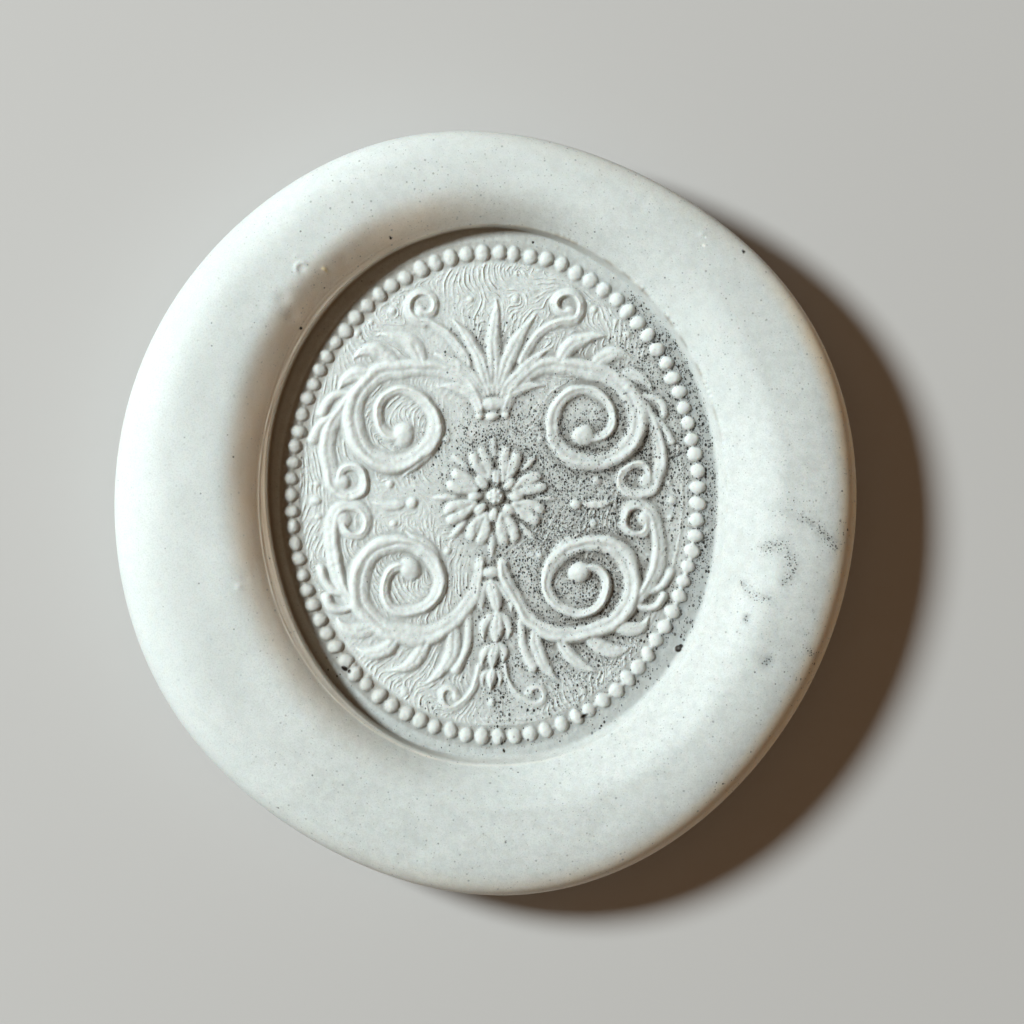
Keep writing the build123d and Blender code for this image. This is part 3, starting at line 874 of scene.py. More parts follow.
v, q, tr, uv, under_uv, rim_island = build_wax()
wax = mesh_from("wax_seal", v, q, tr)
me = wax.data
layer = me.uv_layers.new(name="OFBake")
loop_v = np.empty(len(me.loops), np.int32)
me.loops.foreach_get("vertex_index", loop_v)
face_of = np.repeat(np.arange(len(me.polygons)), [4] * len(q) + [3] * len(tr)) if len(me.polygons) == len(q) + len(tr) else None
corner = uv[loop_v]
if face_of is not None:
    most = np.full(len(me.polygons), -1)
    np.maximum.at(most, face_of, loop_v)
    low = most[face_of] >= rim_island
    corner[low] = under_uv[loop_v[low]]
SPAN = 56.0
layer.uv.foreach_set("vector", ((corner + 24.4) / SPAN).astype(np.float32).ravel())
top = np.arange(len(v)) < rim_island
xs, ys = v[:, 0], v[:, 1]
put(me, "dust_and_lee_shade", np.where(top, dust_and_lee_shade_on(xs, ys), 0.0))
put(me, "soot", np.where(top, soot_on(xs, ys), 0.0))
put(me, "smear", np.where(top, smear_on(xs, ys), 0.0))
u_, v_, t_, e_ = oval_place(xs, ys)
# painted shade with some grime: darker in the recesses of the relief, most where the powder lies
hollow_grime_and_shade = np.clip((look(blur(FIELD, 0.30), u_, v_) - look(FIELD, u_, v_) - 0.012) * 12, 0, 1) * (1 - ramp(e_, 0.7, 1.0))
hollow_grime_and_shade = hollow_grime_and_shade * (0.32 + 0.68 * np.clip(blob(xs, ys, 540, 520, 110, 200, 1.2) + blob(xs, ys, 670, 500, 90, 200, 0.6), 0, 1))
# painted highlight on what stands proud of the field
painted_raised_highlight = np.clip((look(FIELD, u_, v_) - look(blur(FIELD, 0.35), u_, v_)) * 7, 0, 1) * (1 - ramp(e_, 0.7, 1.0))
put(me, "hollow_grime_and_shade", np.where(top, hollow_grime_and_shade, 0.0))
put(me, "painted_raised_highlight", np.where(top, painted_raised_highlight, 0.0))
inner = keyed(0.30, 0.30, 0.30, 0.30, 0.30, 0.30, 0.30, 0.30, 0.30, 0.42, 0.62, 0.66, 0.60, 0.45, 0.30, 0.30)(t_)   # how far in it reaches
# painted shade in the band inside the lip, most on the left, where the lip's shadow lies
painted_shade_and_grime = ramp(e_ - inner, 0.0, 0.55) * (1 - ramp(e_ - LIP_E(t_), -0.08, 0.05)) * keyed(0.10, 0.12, 0.36, 0.48, 0.48, 0.44, 0.20, 0.12)(t_)
# painted shade on the inner slope beyond the lip, mostly at the top
painted_shade_and_grime = painted_shade_and_grime + ramp(e_ - LIP_E(t_), -0.05, 0.1) * (1 - ramp(e_ - LIP_E(t_), 0.3, 1.8)) * keyed(0.05, 0.0, 0.0, 0.06, 0.24, 0.24, 0.02, 0.0, 0.0, 0.02, 0.04, 0.04, 0.02, 0.05, 0.10, 0.10)(t_)
# painted shade just under the lip, on the left
under_lip_shade = ramp(e_ - LIP_E(t_), -0.30, -0.06) * (1 - ramp(e_ - LIP_E(t_), -0.03, 0.02))
painted_shade_and_grime = painted_shade_and_grime + under_lip_shade * keyed(0.0, 0.0, 0.10, 0.30, 0.34, 0.26, 0.06, 0.0)(t_)
shelf_ = np.clip(LEDGE(t_), 0, 1)
# painted shade on the ledge at the lower left
ledge_shade = ramp(e_ - LIP_E(t_), -0.02, 0.05) * (1 - ramp(e_ - LIP_E(t_) - shelf_, -0.09, -0.02)) * np.clip(shelf_ / 0.1, 0, 1)
painted_shade_and_grime = painted_shade_and_grime + ledge_shade * keyed(0.0, 0.0, 0.0, 0.0, 0.0, 0.0, 0.0, 0.04, 0.10, 0.16, 0.32, 0.22, 0.06, 0.0, 0.0, 0.0)(t_)
# painted shade between and on the beads on the left, where the lip's shadow falls
painted_shade_and_grime = painted_shade_and_grime + ramp(e_, -0.55, -0.25) * (1 - ramp(e_, 0.45, 0.6)) * (1 - look(CLEAN, u_, v_)) * keyed(0.0, 0.02, 0.24, 0.52, 0.58, 0.52, 0.22, 0.02)(t_)
painted_shade_and_grime = painted_shade_and_grime + ramp(e_, -0.55, -0.25) * (1 - ramp(e_, 0.45, 0.6)) * look(CLEAN, u_, v_) * keyed(0.0, 0.0, 0.08, 0.39, 0.52, 0.43, 0.10, 0.0)(t_)
# a dark line in the ragged lip
painted_shade_and_grime = painted_shade_and_grime + 0.5 * RAGGED(t_) * np.exp(-(((e_ - LIP_E(t_)) / 0.06) ** 2)) * np.clip(0.4 + wander(t_, 35, 60, 20), 0, 1)
a_ = np.arctan2(ys, xs)
order = np.argsort(np.arctan2(_edge_p[:, 1], _edge_p[:, 0]))
from_edge = np.interp(a_, np.arctan2(_edge_p[:, 1], _edge_p[:, 0])[order], np.hypot(*_edge_p.T)[order], period=TAU) - np.hypot(xs, ys)
# darker band just inside the outer edge on the right and lower right
painted_shade_and_grime = painted_shade_and_grime + ramp(from_edge, 0.4, 0.9) * (1 - ramp(from_edge, 1.2, 2.6)) * keyed(0.07, 0.02, 0.0, 0.0, 0.0, 0.0, 0.03, 0.07)(a_)
# painted warm glow on the outer edge of the shaded right and lower right
painted_warm_glow = (1 - ramp(from_edge, 0.15, 1.25)) * keyed(0.95, 0.90, 0.14, 0.10, 0.04, 0.0, 0.0, 0.0, 0.0, 0.0, 0.0, 0.08, 0.28, 0.55, 0.85, 0.95)(a_)
for name, board in (("grain", GRAIN), ("pitch", PITCH), ("drawn", DRAWN)):
    put(me, name, np.where(top, look(board, u_, v_), 0.0))
# painted light: raised work on the left of the field, the top of the rim and the beads on the right made lighter
pale_and_painted_light = 0.36 * (0.15 + 0.85 * look(CLEAN, u_, v_)) * (1 - ramp(e_, -0.6, -0.3)) * (1 - ramp(xs, -6.5, -0.5)) + 0.30 * ramp(e_ - LIP_E(t_), 0.8, 2.2) * ramp(np.cos(a_ - 1.66), 0.70, 0.97)
pale_and_painted_light = pale_and_painted_light + 0.45 * ramp(e_, -0.5, -0.2) * (1 - ramp(e_, 0.3, 0.6)) * ramp(np.cos(t_), 0.5, 0.9)
# grey powder film in the band outside the beads, heavier on the side of the relief away from the light as painted
# shadow
veil_and_lee_shade = ramp(e_, -0.2, 0.25) * (1 - ramp(e_ - FOOT_E(t_), -0.12, 0.12)) * (1 - look(CLEAN, u_, v_)) * 0.33 * np.clip(BAND_VEIL(t_), 0, 1.4) * (1 + 0.6 * look(CLEAN, u_ - 0.26, v_ + 0.11))
veil_and_lee_shade = veil_and_lee_shade + blob(xs, ys, 530, 690, 100, 46, 0.13) * (1 - look(CLEAN, u_, v_)) * (1 - ramp(e_, -0.5, 0.0))
veil_and_lee_shade = veil_and_lee_shade + blob(xs, ys, 743.5, 618, 4.0, 5.5, 0.32, 0.3) + blob(xs, ys, 764.5, 659, 7, 8.5, 0.34)
put(me, "veil_and_lee_shade", np.where(top, veil_and_lee_shade, 0.0))
# a lighter patch at the upper right
pale_and_painted_light = pale_and_painted_light + blob(xs, ys, 715, 300, 55, 70, 0.25)
put(me, "pale_and_painted_light", np.where(top, pale_and_painted_light, 0.0))
put(me, "field", np.where(top, 1 - ramp(e_, 0.55, 0.95), 0.0))
put(me, "fleck", np.where(top, 0.30 + 0.70 * ramp(xs, -14.5, -6.0) * (1 - 0.6 * (1 - ramp(e_, -0.6, -0.3)) * (1 - ramp(xs, -6.5, -0.5))), 0.5))
# painted shade: warm brown on the inner slope beyond the lip, on the upper left and left
painted_warm_shade = ramp(e_ - LIP_E(t_), -0.12, 0.06) * (1 - ramp(e_ - LIP_E(t_), 0.65, 2.25)) * keyed(0.0, 0.0, 0.0, 0.0, 0.08, 0.50, 0.60, 0.68, 0.74, 0.50, 0.24, 0.05, 0.0, 0.0, 0.0, 0.0)(t_)
put(me, "painted_warm_shade", np.where(top, painted_warm_shade, 0.0))
# painted highlight along the sharp edge of the lip
painted_lip_highlight = np.exp(-(((e_ - LIP_E(t_) - np.clip(LEDGE(t_), 0.01, 1)) / 0.042) ** 2)) * np.clip(SHARP(t_), 0, 1) * np.clip(0.62 + 0.30 * wander(t_, 41, 40, 6), 0, 1)
put(me, "painted_lip_highlight", np.where(top, painted_lip_highlight, 0.0))
put(me, "gilt", np.where(top, ramp(blob(xs, ys, 326.7, 272.3, 2.7, 2.2, 1.0), 0.30, 0.60), 0.0))
# painted highlight: two small white glints on the rim at the upper right
painted_glint = np.maximum(blob(xs, ys, 700.8, 249, 2.0, 1.6, 1.0), blob(xs, ys, 703, 241, 1.6, 1.6, 1.0))
put(me, "painted_glint", np.where(top, ramp(painted_glint, 0.30, 0.60), 0.0))
painted_warm_glow = painted_warm_glow * (0.30 + 0.70 * ramp(v[:, 2] - v[:, 2].min(), 1.3, 2.5))
put(me, "painted_warm_glow", np.where(top, np.clip(painted_warm_glow, 0, 1), 0.0))
put(me, "painted_shade_and_grime", np.where(top, np.clip(painted_shade_and_grime, 0, 1), 0.0))
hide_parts("wax_body")
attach(wax, "seal")


# =====================================================================
# Materials
# =====================================================================
class Nodes:
    def __init__(self, name):
        self.mat = bpy.data.materials.new(name)
        self.mat.use_nodes = True
        self.t = self.mat.node_tree
        self.t.nodes.clear()
        self.out = self.t.nodes.new("ShaderNodeOutputMaterial")
        self.bsdf = self.t.nodes.new("ShaderNodeBsdfPrincipled")
        self.t.links.new(self.bsdf.outputs[0], self.out.inputs["Surface"])
        co = self.t.nodes.new("ShaderNodeTexCoord")
        scale = self.t.nodes.new("ShaderNodeVectorMath")
        scale.operation = "SCALE"
        scale.inputs["Scale"].default_value = 1000.0
        self.t.links.new(co.outputs["Object"], scale.inputs[0])
        self.mm = scale.outputs[0]          # millimetres

    def link(self, a, b):
        self.t.links.new(a, b)

    def set(self, **k):
        for n, val in k.items():
            self.bsdf.inputs[n.replace("_", " ")].default_value = val

    def noise(self, scale, detail=2.0, rough=0.5, dist=0.0, vec=None):
        n = self.t.nodes.new("ShaderNodeTexNoise")
        n.inputs["Scale"].default_value = scale
        n.inputs["Detail"].default_value = detail
        n.inputs["Roughness"].default_value = rough
        n.inputs["Distortion"].default_value = dist
        self.link(vec or self.mm, n.inputs["Vector"])
        return n.outputs["Fac"]

    def cells(self, scale, feature="F1", vec=None, rand=1.0):
        n = self.t.nodes.new("ShaderNodeTexVoronoi")
        n.feature = feature
        n.inputs["Scale"].default_value = scale
        n.inputs["Randomness"].default_value = rand
        self.link(vec or self.mm, n.inputs["Vector"])
        return n

    def math(self, op, a, b=None, c=None, clamp=False):
        n = self.t.nodes.new("ShaderNodeMath")
        n.operation = op
        n.use_clamp = clamp
        for i, x in enumerate((a, b, c)):
            if x is None:
                continue
            if isinstance(x, (int, float)):
                n.inputs[i].default_value = x
            else:
                self.link(x, n.inputs[i])
        return n.outputs[0]

    def span(self, x, a, b, lo=0.0, hi=1.0, smooth=True):
        n = self.t.nodes.new("ShaderNodeMapRange")
        n.interpolation_type = "SMOOTHSTEP" if smooth else "LINEAR"
        self.link(x, n.inputs["Value"])
        for k, val in (("From Min", a), ("From Max", b), ("To Min", lo), ("To Max", hi)):
            if isinstance(val, (int, float)):
                n.inputs[k].default_value = val
            else:
                self.link(val, n.inputs[k])
        return n.outputs["Result"]

    def mix(self, fac, a, b):
        n = self.t.nodes.new("ShaderNodeMix")
        n.data_type = "RGBA"
        for sock, x in ((n.inputs[0], fac), (n.inputs[6], a), (n.inputs[7], b)):
            if isinstance(x, (int, float)):
                sock.default_value = x
            elif isinstance(x, tuple):
                sock.default_value = (*x, 1.0)
            else:
                self.link(x, sock)
        return n.outputs[2]

    def split(self, colour):
        n = self.t.nodes.new("ShaderNodeSeparateColor")
        self.link(colour, n.inputs[0])
        return n.outputs[0], n.outputs[1], n.outputs[2]

    def attr(self, name):
        n = self.t.nodes.new("ShaderNodeAttribute")
        n.attribute_name = name
        return n.outputs["Fac"]

    def bump(self, height, mm, strength=1.0, after=None):
        n = self.t.nodes.new("ShaderNodeBump")
        n.inputs["Strength"].default_value = strength
        n.inputs["Distance"].default_value = mm * MM
        self.link(height, n.inputs["Height"])
        if after is not None:
            self.link(after, n.inputs["Normal"])
        return n.outputs["Normal"]


def wax_material():
    m = Nodes("sealing_wax")
    # body colour: cool grey-white with slow drifts
    drift = m.noise(0.16, 3.0, 0.55)
    cloud = m.noise(0.7, 3.0, 0.6)
    grit = m.noise(13.0, 2.0, 0.6)
    base = m.mix(m.span(drift, 0.32, 0.68), (0.700, 0.742, 0.727), (0.742, 0.782, 0.769))
    base = m.mix(m.span(cloud, 0.52, 0.80, 0.0, 0.32), base, (0.595, 0.632, 0.617))
    base = m.mix(m.math("MULTIPLY", m.span(m.noise(2.1, 4.0, 0.7), 0.36, 0.70, 0.0, 0.46), m.attr("fleck")), base, (0.54, 0.575, 0.56))
    base = m.mix(m.span(grit, 0.40, 0.75, 0.0, 0.40), base, (0.50, 0.535, 0.522))
    # lighter: painted light on raised work, rim top and beads, and a patch at the upper right
    base = m.mix(m.attr("pale_and_painted_light"), base, (0.80, 0.84, 0.83))
    # scraper lines over the open ground, evenly spaced: where the levels spread, new lines start between the old
    pitch = m.attr("pitch")
    octave = m.math("FLOOR", pitch)
    part = m.math("SUBTRACT", pitch, octave)
    wobble = m.math("MULTIPLY", m.math("SUBTRACT", m.noise(2.4, 2.0, 0.5), 0.5), 0.07)
    x = m.math("MULTIPLY", m.math("ADD", m.attr("grain"), wobble), m.math("POWER", 2.0, octave))
    gap = m.math("MULTIPLY", m.math("POWER", 2.0, part), LINE_GAP)
    lines = None
    for shift, weight in ((0.5, None), (0.0, m.span(part, 0.30, 0.70))):
        off = m.math("ABSOLUTE", m.math("SUBTRACT", m.math("FRACT", m.math("ADD", x, shift)), 0.5))
        ridge = m.span(m.math("MULTIPLY", off, gap), 0.0, 0.070, 1.0, 0.0)
        ridge = ridge if weight is None else m.math("MULTIPLY", ridge, weight)
        lines = ridge if lines is None else m.math("MAXIMUM", lines, ridge)
    lines = m.math("MULTIPLY", lines, m.math("MULTIPLY", m.attr("drawn"), m.span(m.noise(1.7, 2.0, 0.6), 0.38, 0.58, 0.10, 1.0)))
    # painted highlight along the raised scraper lines
    base = m.mix(m.math("MULTIPLY", lines, 0.30), base, (0.79, 0.825, 0.81))
    # painted shade with some grime in the corners of the relief, and painted shade along the foot of the wall
    base = m.mix(m.math("MULTIPLY", m.attr("hollow_grime_and_shade"), 0.80), base, (0.13, 0.108, 0.082))
    # painted shade in the band, on the slope, under the lip, on the ledge and the left beads; grime in the ragged lip;
    # a darker band by the outer edge
    base = m.mix(m.attr("painted_shade_and_grime"), base, (0.26, 0.215, 0.165))
    # painted warm shade on the left inner slope
    base = m.mix(m.math("MULTIPLY", m.attr("painted_warm_shade"), m.span(m.noise(0.9, 3.0, 0.6), 0.3, 0.7, 0.88, 1.06)), base, (0.80, 0.62, 0.43))
    # painted highlight on the lip edge
    base = m.mix(m.attr("painted_lip_highlight"), base, (0.90, 0.84, 0.73))
    # painted warm glow on the thin outer edge on the shaded side, in place of light passing through the wax
    base = m.mix(m.math("MULTIPLY", m.attr("painted_warm_glow"), m.span(m.noise(1.3, 3.0, 0.6), 0.3, 0.7, 0.76, 1.0)), base, (0.80, 0.615, 0.375))
    # faint grey flecks
    for scale, fade in ((3.1, 0.70), (5.2, 0.66), (7.7, 0.50)):
        c = m.cells(scale)
        size = m.span(c.outputs["Color"], 0.35, 1.0, 0.06, 0.21, smooth=False)
        dot = m.span(m.math("SUBTRACT", c.outputs["Distance"], size), -0.09, 0.05, 1.0, 0.0)
        pick = m.span(c.outputs["Color"], 0.35, 0.37, 0.0, 1.0)
        base = m.mix(m.math("MULTIPLY", m.math("MULTIPLY", m.math("MULTIPLY", dot, pick), fade), m.attr("fleck")), base, (0.30, 0.315, 0.31))
    # single dark specks
    c = m.cells(1.9)
    pick = m.span(c.outputs["Color"], 0.60, 1.0, 0.30, 0.85, smooth=False)
    pick = m.math("MULTIPLY", pick, m.span(c.outputs["Color"], 0.60, 0.62, 0.0, 1.0))
    size = m.span(c.outputs["Color"], 0.60, 1.0, 0.04, 0.115, smooth=False)
    dot = m.span(m.math("SUBTRACT", c.outputs["Distance"], size), -0.035, 0.03, 1.0, 0.0)
    base = m.mix(m.math("MULTIPLY", dot, pick), base, (0.055, 0.055, 0.06))
    # settled powder, with painted shadow on the side of the relief away from the light: grains that crowd where it lies
    # thick
    dust_and_lee_shade = m.attr("dust_and_lee_shade")
    clump = m.span(m.noise(1.3, 3.0, 0.65), 0.30, 0.70, 0.55, 1.20)
    load = m.math("MULTIPLY", dust_and_lee_shade, clump)
    film = m.span(m.noise(9.0, 3.0, 0.7), 0.36, 0.66, 0.60, 1.0)
    base = m.mix(m.math("MULTIPLY", m.math("MULTIPLY", load, 0.47), film, clamp=True), base, (0.25, 0.250, 0.235))
    # grey powder film, with painted shadow on the side of the relief away from the light
    base = m.mix(m.attr("veil_and_lee_shade"), base, (0.285, 0.308, 0.308))
    lay = m.t.nodes.new("ShaderNodeVectorMath")
    lay.operation = "MULTIPLY"
    lay.inputs[1].default_value = (1.12, 0.84, 1.0)
    m.link(m.mm, lay.inputs[0])
    grains = None
    for scale, share in ((6.2, 0.62), (8.6, 0.68), (11.8, 0.72)):
        g = m.cells(scale, vec=lay.outputs[0])
        red, green, blue = m.split(g.outputs["Color"])
        size = m.span(blue, 0.0, 1.0, 0.29, 0.46, smooth=False)
        grain = m.span(m.math("SUBTRACT", g.outputs["Distance"], size), -0.06, 0.04, 1.0, 0.0)
        pick = m.span(m.math("SUBTRACT", m.math("MULTIPLY", load, share), red), 0.0, 0.04)
        tone = m.span(green, 0.0, 0.8, 0.46, 1.0, smooth=False)
        g = m.math("MULTIPLY", m.math("MULTIPLY", grain, pick), tone)
        grains = g if grains is None else m.math("MAXIMUM", grains, g)
    base = m.mix(m.math("MULTIPLY", grains, 0.97), base, (0.018, 0.016, 0.014))
    # finger marks: a grey film broken by the skin's pattern, with a few grains
    smear = m.attr("smear")
    broken = m.span(m.noise(4.5, 4.0, 0.7), 0.40, 0.66, 0.22, 1.0)
    base = m.mix(m.math("MULTIPLY", m.math("MULTIPLY", smear, broken), 0.62), base, (0.29, 0.30, 0.29))
    g = m.cells(8.5)
    size = m.span(smear, 0.0, 1.0, 0.18, 0.40, smooth=False)
    grain = m.span(m.math("SUBTRACT", g.outputs["Distance"], size), -0.10, 0.07, 1.0, 0.0)
    pick = m.span(m.math("ADD", g.outputs["Color"], m.math("MULTIPLY", smear, 0.76)), 0.84, 0.95, 0.0, 1.0)
    base = m.mix(m.math("MULTIPLY", m.math("MULTIPLY", m.math("MULTIPLY", grain, pick), m.span(smear, 0.05, 0.3)), 0.82), base, (0.07, 0.072, 0.07))
    base = m.mix(m.attr("soot"), base, (0.022, 0.015, 0.011))
    base = m.mix(m.attr("gilt"), base, (1.0, 0.86, 0.56))
    # painted glints
    base = m.mix(m.attr("painted_glint"), base, (0.98, 1.0, 0.97))
    # painted highlight: what stands proud is made lighter
    base = m.mix(m.math("MULTIPLY", m.attr("painted_raised_highlight"), 0.55), base, (0.775, 0.815, 0.80))
    m.link(base, m.bsdf.inputs["Base Color"])
    rough = m.span(m.noise(2.3, 4.0, 0.6), 0.3, 0.7, 0.45, 0.60)
    rough = m.math("ADD", rough, m.math("MULTIPLY", load, 0.22), clamp=True)
    m.link(rough, m.bsdf.inputs["Roughness"])
    m.set(IOR=1.44, Specular_IOR_Level=0.22, Subsurface_Weight=0.28, Subsurface_Scale=0.00030, Subsurface_Anisotropy=0.2)
    m.bsdf.inputs["Subsurface Radius"].default_value = (1.0, 0.62, 0.40)
    b = m.bump(m.noise(0.9, 3.0, 0.5), 0.05, 0.30)
    b = m.bump(m.noise(7.0, 3.0, 0.6), 0.008, 0.5, b)
    b = m.bump(lines, 0.026, 1.0, b)
    lumps = m.math("MULTIPLY", m.math("ADD", m.noise(9.0, 3.0, 0.65), m.math("MULTIPLY", m.noise(4.2, 2.0, 0.5), 0.8)), m.attr("field"))
    b = m.bump(lumps, 0.020, 0.75, b)
    b = m.bump(grains, 0.012, 0.6, b)
    m.link(b, m.bsdf.inputs["Normal"])
    return m.mat


wax.data.materials.append(wax_material())


# =====================================================================
# Pad and liner
# =====================================================================
def disc_sheet(name, outline, z0, z1, rings, wave=None):
    """A closed sheet of this outline, its faces laid in rings, its cut edge a little rounded."""
    n = len(outline)
    c = outline.mean(0)
    rows = []
    h = z1 - z0
    top = [(k, z1) for k in rings]
    edge = [(1.0 - 0.002, z1 - 0.02 * h), (1.0, z1 - 0.14 * h), (1.0, z0 + 0.14 * h), (1.0 - 0.002, z0 + 0.02 * h)]
    low = [(k, z0) for k in rings[::-1]]
    quads, tris = [], []
    v = []
    for k, z in top + edge + low:
        p = c + (outline - c) * k
        zz = np.full(n, z)
        if wave is not None:
            p, zz = wave(p, zz, k)
        v.append(np.c_[p, zz])
    m = len(v)
    for r in range(m - 1):
        a, b = r * n + np.arange(n), (r + 1) * n + np.arange(n)
        quads.append(np.stack([a, b, np.roll(b, -1), np.roll(a, -1)], -1))
    v.append(np.array([[*c, z1], [*c, z0]]))
    a, b = np.arange(n), (m - 1) * n + np.arange(n)
    tris.append(np.stack([np.full(n, m * n), a, np.roll(a, -1)], -1))
    tris.append(np.stack([np.full(n, m * n + 1), np.roll(b, -1), b], -1))
    return mesh_from(name, np.concatenate(v), np.concatenate(quads), np.concatenate(tris))


def round_outline(r, n, seed, wobble):
    a = TAU * np.arange(n) / n
    rr = r - wobble * (1 + 0.5 * wander(a, seed, 40, 3) + 0.5 * wander(a, seed + 1, 120, 60)).clip(0, 3)
    return np.c_[rr * np.cos(a), rr * np.sin(a)]


RINGS = [0.12, 0.3, 0.5, 0.7, 0.85, 0.94, 0.985, 0.995]


def liner_outline(n_arc=220):
    """Round sheet with a pull tab on its +X side."""
    half = TAB_W / 2
    a0 = math.asin(half / LINER_R)
    a = np.linspace(a0, TAU - a0, n_arc)
    arc = np.c_[LINER_R * np.cos(a), LINER_R * np.sin(a)]
    x0 = LINER_R * math.cos(a0)
    xs = np.linspace(x0, TAB_TIP - TAB_CORNER, 14)[1:]
    low = np.c_[xs, np.full(len(xs), -half)]
    b = np.linspace(-np.pi / 2, 0, 10)[1:]
    c1 = np.c_[TAB_TIP - TAB_CORNER + TAB_CORNER * np.cos(b), -half + TAB_CORNER + TAB_CORNER * np.sin(b)]
    ys = np.linspace(-half + TAB_CORNER, half - TAB_CORNER, 10)[1:]
    tip = np.c_[np.full(len(ys), TAB_TIP), ys]
    b = np.linspace(0, np.pi / 2, 10)[1:]
    c2 = np.c_[TAB_TIP - TAB_CORNER + TAB_CORNER * np.cos(b), half - TAB_CORNER + TAB_CORNER * np.sin(b)]
    high = np.c_[xs[::-1][1:], np.full(len(xs) - 1, half)]
    return np.concatenate([arc, low, c1, tip, c2, high])


def foam_wave(p, z, k):
    """The soft core bellies out a hair between its two films."""
    mid = 1 - ((z - (Z_FOAM + FOAM_T / 2)) / (FOAM_T / 2)) ** 2
    r = np.linalg.norm(p, axis=1)
    return p * (1 - 0.05 / PAD_R * np.clip(1 - mid, 0, 1) * (k > 0.98))[:, None], z


upper = disc_sheet("pad_upper_film", round_outline(PAD_R - 0.02, 360, 51, 0.02), Z_TOP_TACK, Z_WAX, RINGS)
foam = disc_sheet("pad_foam", round_outline(PAD_R, 540, 53, 0.045), Z_FOAM, Z_TOP_TACK, RINGS, foam_wave)
lower = disc_sheet("pad_lower_film", round_outline(PAD_R - 0.02, 360, 55, 0.02), Z_PAD, Z_FOAM, RINGS)
liner = disc_sheet("liner_sheet", liner_outline(), 0.0, LINER_T, RINGS)
for ob, node, slot, body in (
    (upper, "upper_adhesive", "adhesive", "seal"),
    (foam, "foam_core", "foam", "seal"),
    (lower, "lower_adhesive", "adhesive", "seal"),
    (liner, "release_liner", "liner_paper", "liner"),
):
    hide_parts(node)
    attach(ob, body)


def film_material():
    m = Nodes("adhesive_film")
    n = m.noise(1.2, 4.0, 0.6)
    base = m.mix(m.span(n, 0.35, 0.65), (0.80, 0.785, 0.72), (0.86, 0.85, 0.80))
    c = m.cells(2.6)
    bubble = m.span(c.outputs["Distance"], 0.05, 0.10, 1.0, 0.0)
    pick = m.span(c.outputs["Color"], 0.70, 0.72, 0.0, 1.0)
    bubble = m.math("MULTIPLY", bubble, pick)
    base = m.mix(m.math("MULTIPLY", bubble, 0.5), base, (0.95, 0.95, 0.93))
    m.link(base, m.bsdf.inputs["Base Color"])
    m.link(m.span(m.noise(5.0, 3.0, 0.6), 0.3, 0.7, 0.10, 0.24), m.bsdf.inputs["Roughness"])
    m.set(IOR=1.47, Specular_IOR_Level=0.5, Subsurface_Weight=0.3, Subsurface_Scale=0.0004)
    b = m.bump(m.noise(3.0, 3.0, 0.5), 0.03, 0.5)
    m.link(m.bump(bubble, 0.03, 0.6, b), m.bsdf.inputs["Normal"])
    return m.mat


def foam_material():
    m = Nodes("foam_core")
    c = m.cells(7.0)
    c2 = m.cells(15.0)
    cell = m.math("ADD", m.math("MULTIPLY", c.outputs["Distance"], 0.7), m.math("MULTIPLY", c2.outputs["Distance"], 0.3))
    # the pores painted darker as shade in them, and sunk by the bump
    base = m.mix(m.span(cell, 0.10, 0.55), (0.60, 0.60, 0.585), (0.88, 0.88, 0.865))
    m.link(base, m.bsdf.inputs["Base Color"])
    m.link(m.span(cell, 0.1, 0.6, 0.85, 0.65), m.bsdf.inputs["Roughness"])
    m.set(Specular_IOR_Level=0.25, Subsurface_Weight=0.25, Subsurface_Scale=0.0004)
    m.link(m.bump(cell, 0.08, 0.9), m.bsdf.inputs["Normal"])
    return m.mat


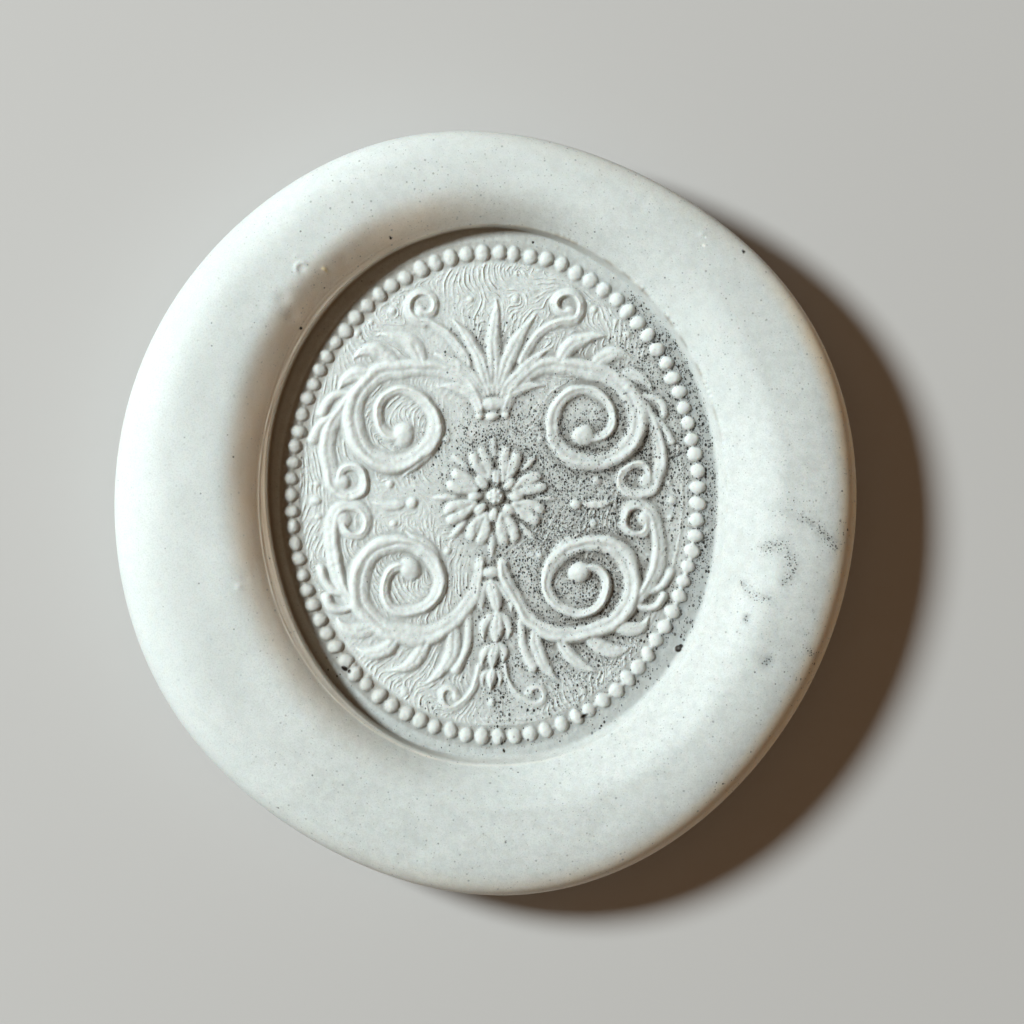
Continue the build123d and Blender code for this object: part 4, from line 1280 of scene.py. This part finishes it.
def paper_material():
    m = Nodes("liner_paper")
    stretch = m.t.nodes.new("ShaderNodeVectorMath")
    stretch.operation = "MULTIPLY"
    stretch.inputs[1].default_value = (0.35, 2.4, 1.0)
    m.link(m.mm, stretch.inputs[0])
    fibre = m.noise(3.2, 5.0, 0.7, 0.6, vec=stretch.outputs[0])
    cloud = m.noise(0.45, 4.0, 0.6)
    base = m.mix(m.span(fibre, 0.35, 0.68), (0.66, 0.575, 0.43), (0.80, 0.725, 0.59))
    base = m.mix(m.span(cloud, 0.35, 0.70, 0.0, 0.5), base, (0.745, 0.665, 0.53))
    c = m.cells(1.3)
    fleck = m.math("MULTIPLY", m.span(c.outputs["Distance"], 0.03, 0.09, 1.0, 0.0), m.span(c.outputs["Color"], 0.62, 0.64))
    base = m.mix(m.math("MULTIPLY", fleck, 0.5), base, (0.36, 0.27, 0.17))
    m.link(base, m.bsdf.inputs["Base Color"])
    m.link(m.span(m.noise(1.8, 4.0, 0.6), 0.3, 0.7, 0.26, 0.40), m.bsdf.inputs["Roughness"])
    m.set(Specular_IOR_Level=0.5, Coat_Weight=0.25, Coat_Roughness=0.22)
    b = m.bump(fibre, 0.012, 0.6)
    m.link(m.bump(m.noise(0.30, 2.0, 0.5), 0.12, 0.5, b), m.bsdf.inputs["Normal"])
    return m.mat


film = film_material()
upper.data.materials.append(film)
lower.data.materials.append(film)
foam.data.materials.append(foam_material())
liner.data.materials.append(paper_material())

# =====================================================================
# Floor, light and camera
# =====================================================================
bpy.ops.mesh.primitive_plane_add(size=3.0, location=(0, 0, 0))
floor = bpy.context.object
floor.name = "floor"
fm = bpy.data.materials.new("floor")
fm.use_nodes = True
p = fm.node_tree.nodes["Principled BSDF"]
p.inputs["Base Color"].default_value = (0.54, 0.525, 0.515, 1)
p.inputs["Roughness"].default_value = 0.85
p.inputs["Specular IOR Level"].default_value = 0.2
floor.data.materials.append(fm)


def area(name, towards, dist, size, power, colour, aim=(0, 0, 0.003)):
    d = Vector(towards).normalized()
    light = bpy.data.lights.new(name, "AREA")
    light.shape = "DISK"
    light.size = size
    light.energy = power
    light.color = colour
    ob = bpy.data.objects.new(name, light)
    ob.location = Vector(aim) + d * dist
    ob.rotation_euler = (-d).to_track_quat("-Z", "Y").to_euler()
    bpy.context.scene.collection.objects.link(ob)
    return ob


EL = math.radians(41.5)
AZ = math.radians(158)       # from the left, a little from above in the picture
area("key", (math.cos(AZ) * math.cos(EL), math.sin(AZ) * math.cos(EL), math.sin(EL)), 0.60, 0.14, 4.95, (0.905, 0.992, 1.0))
area("fill", (0.55, -0.35, 0.75), 0.70, 0.6, 0.10, (1.0, 0.75, 0.50))

world = bpy.data.worlds.new("studio")
bpy.context.scene.world = world
world.use_nodes = True
bg = world.node_tree.nodes["Background"]
bg.inputs["Color"].default_value = (1.0, 0.60, 0.33, 1)
bg.inputs["Strength"].default_value = 0.12

cam = bpy.data.cameras.new("camera")
cam.sensor_width = 36.0
cam.clip_start = 0.005
DIST = 0.170
cam.lens = 36.0 * (DIST - 0.0025) / 0.0483
view = bpy.data.objects.new("camera", cam)
view.location = (0.00128, 0.00007, DIST)
view.rotation_euler = (0, 0, 0)
bpy.context.scene.collection.objects.link(view)
bpy.context.scene.camera = view
bpy.context.scene.view_settings.view_transform = "Standard"
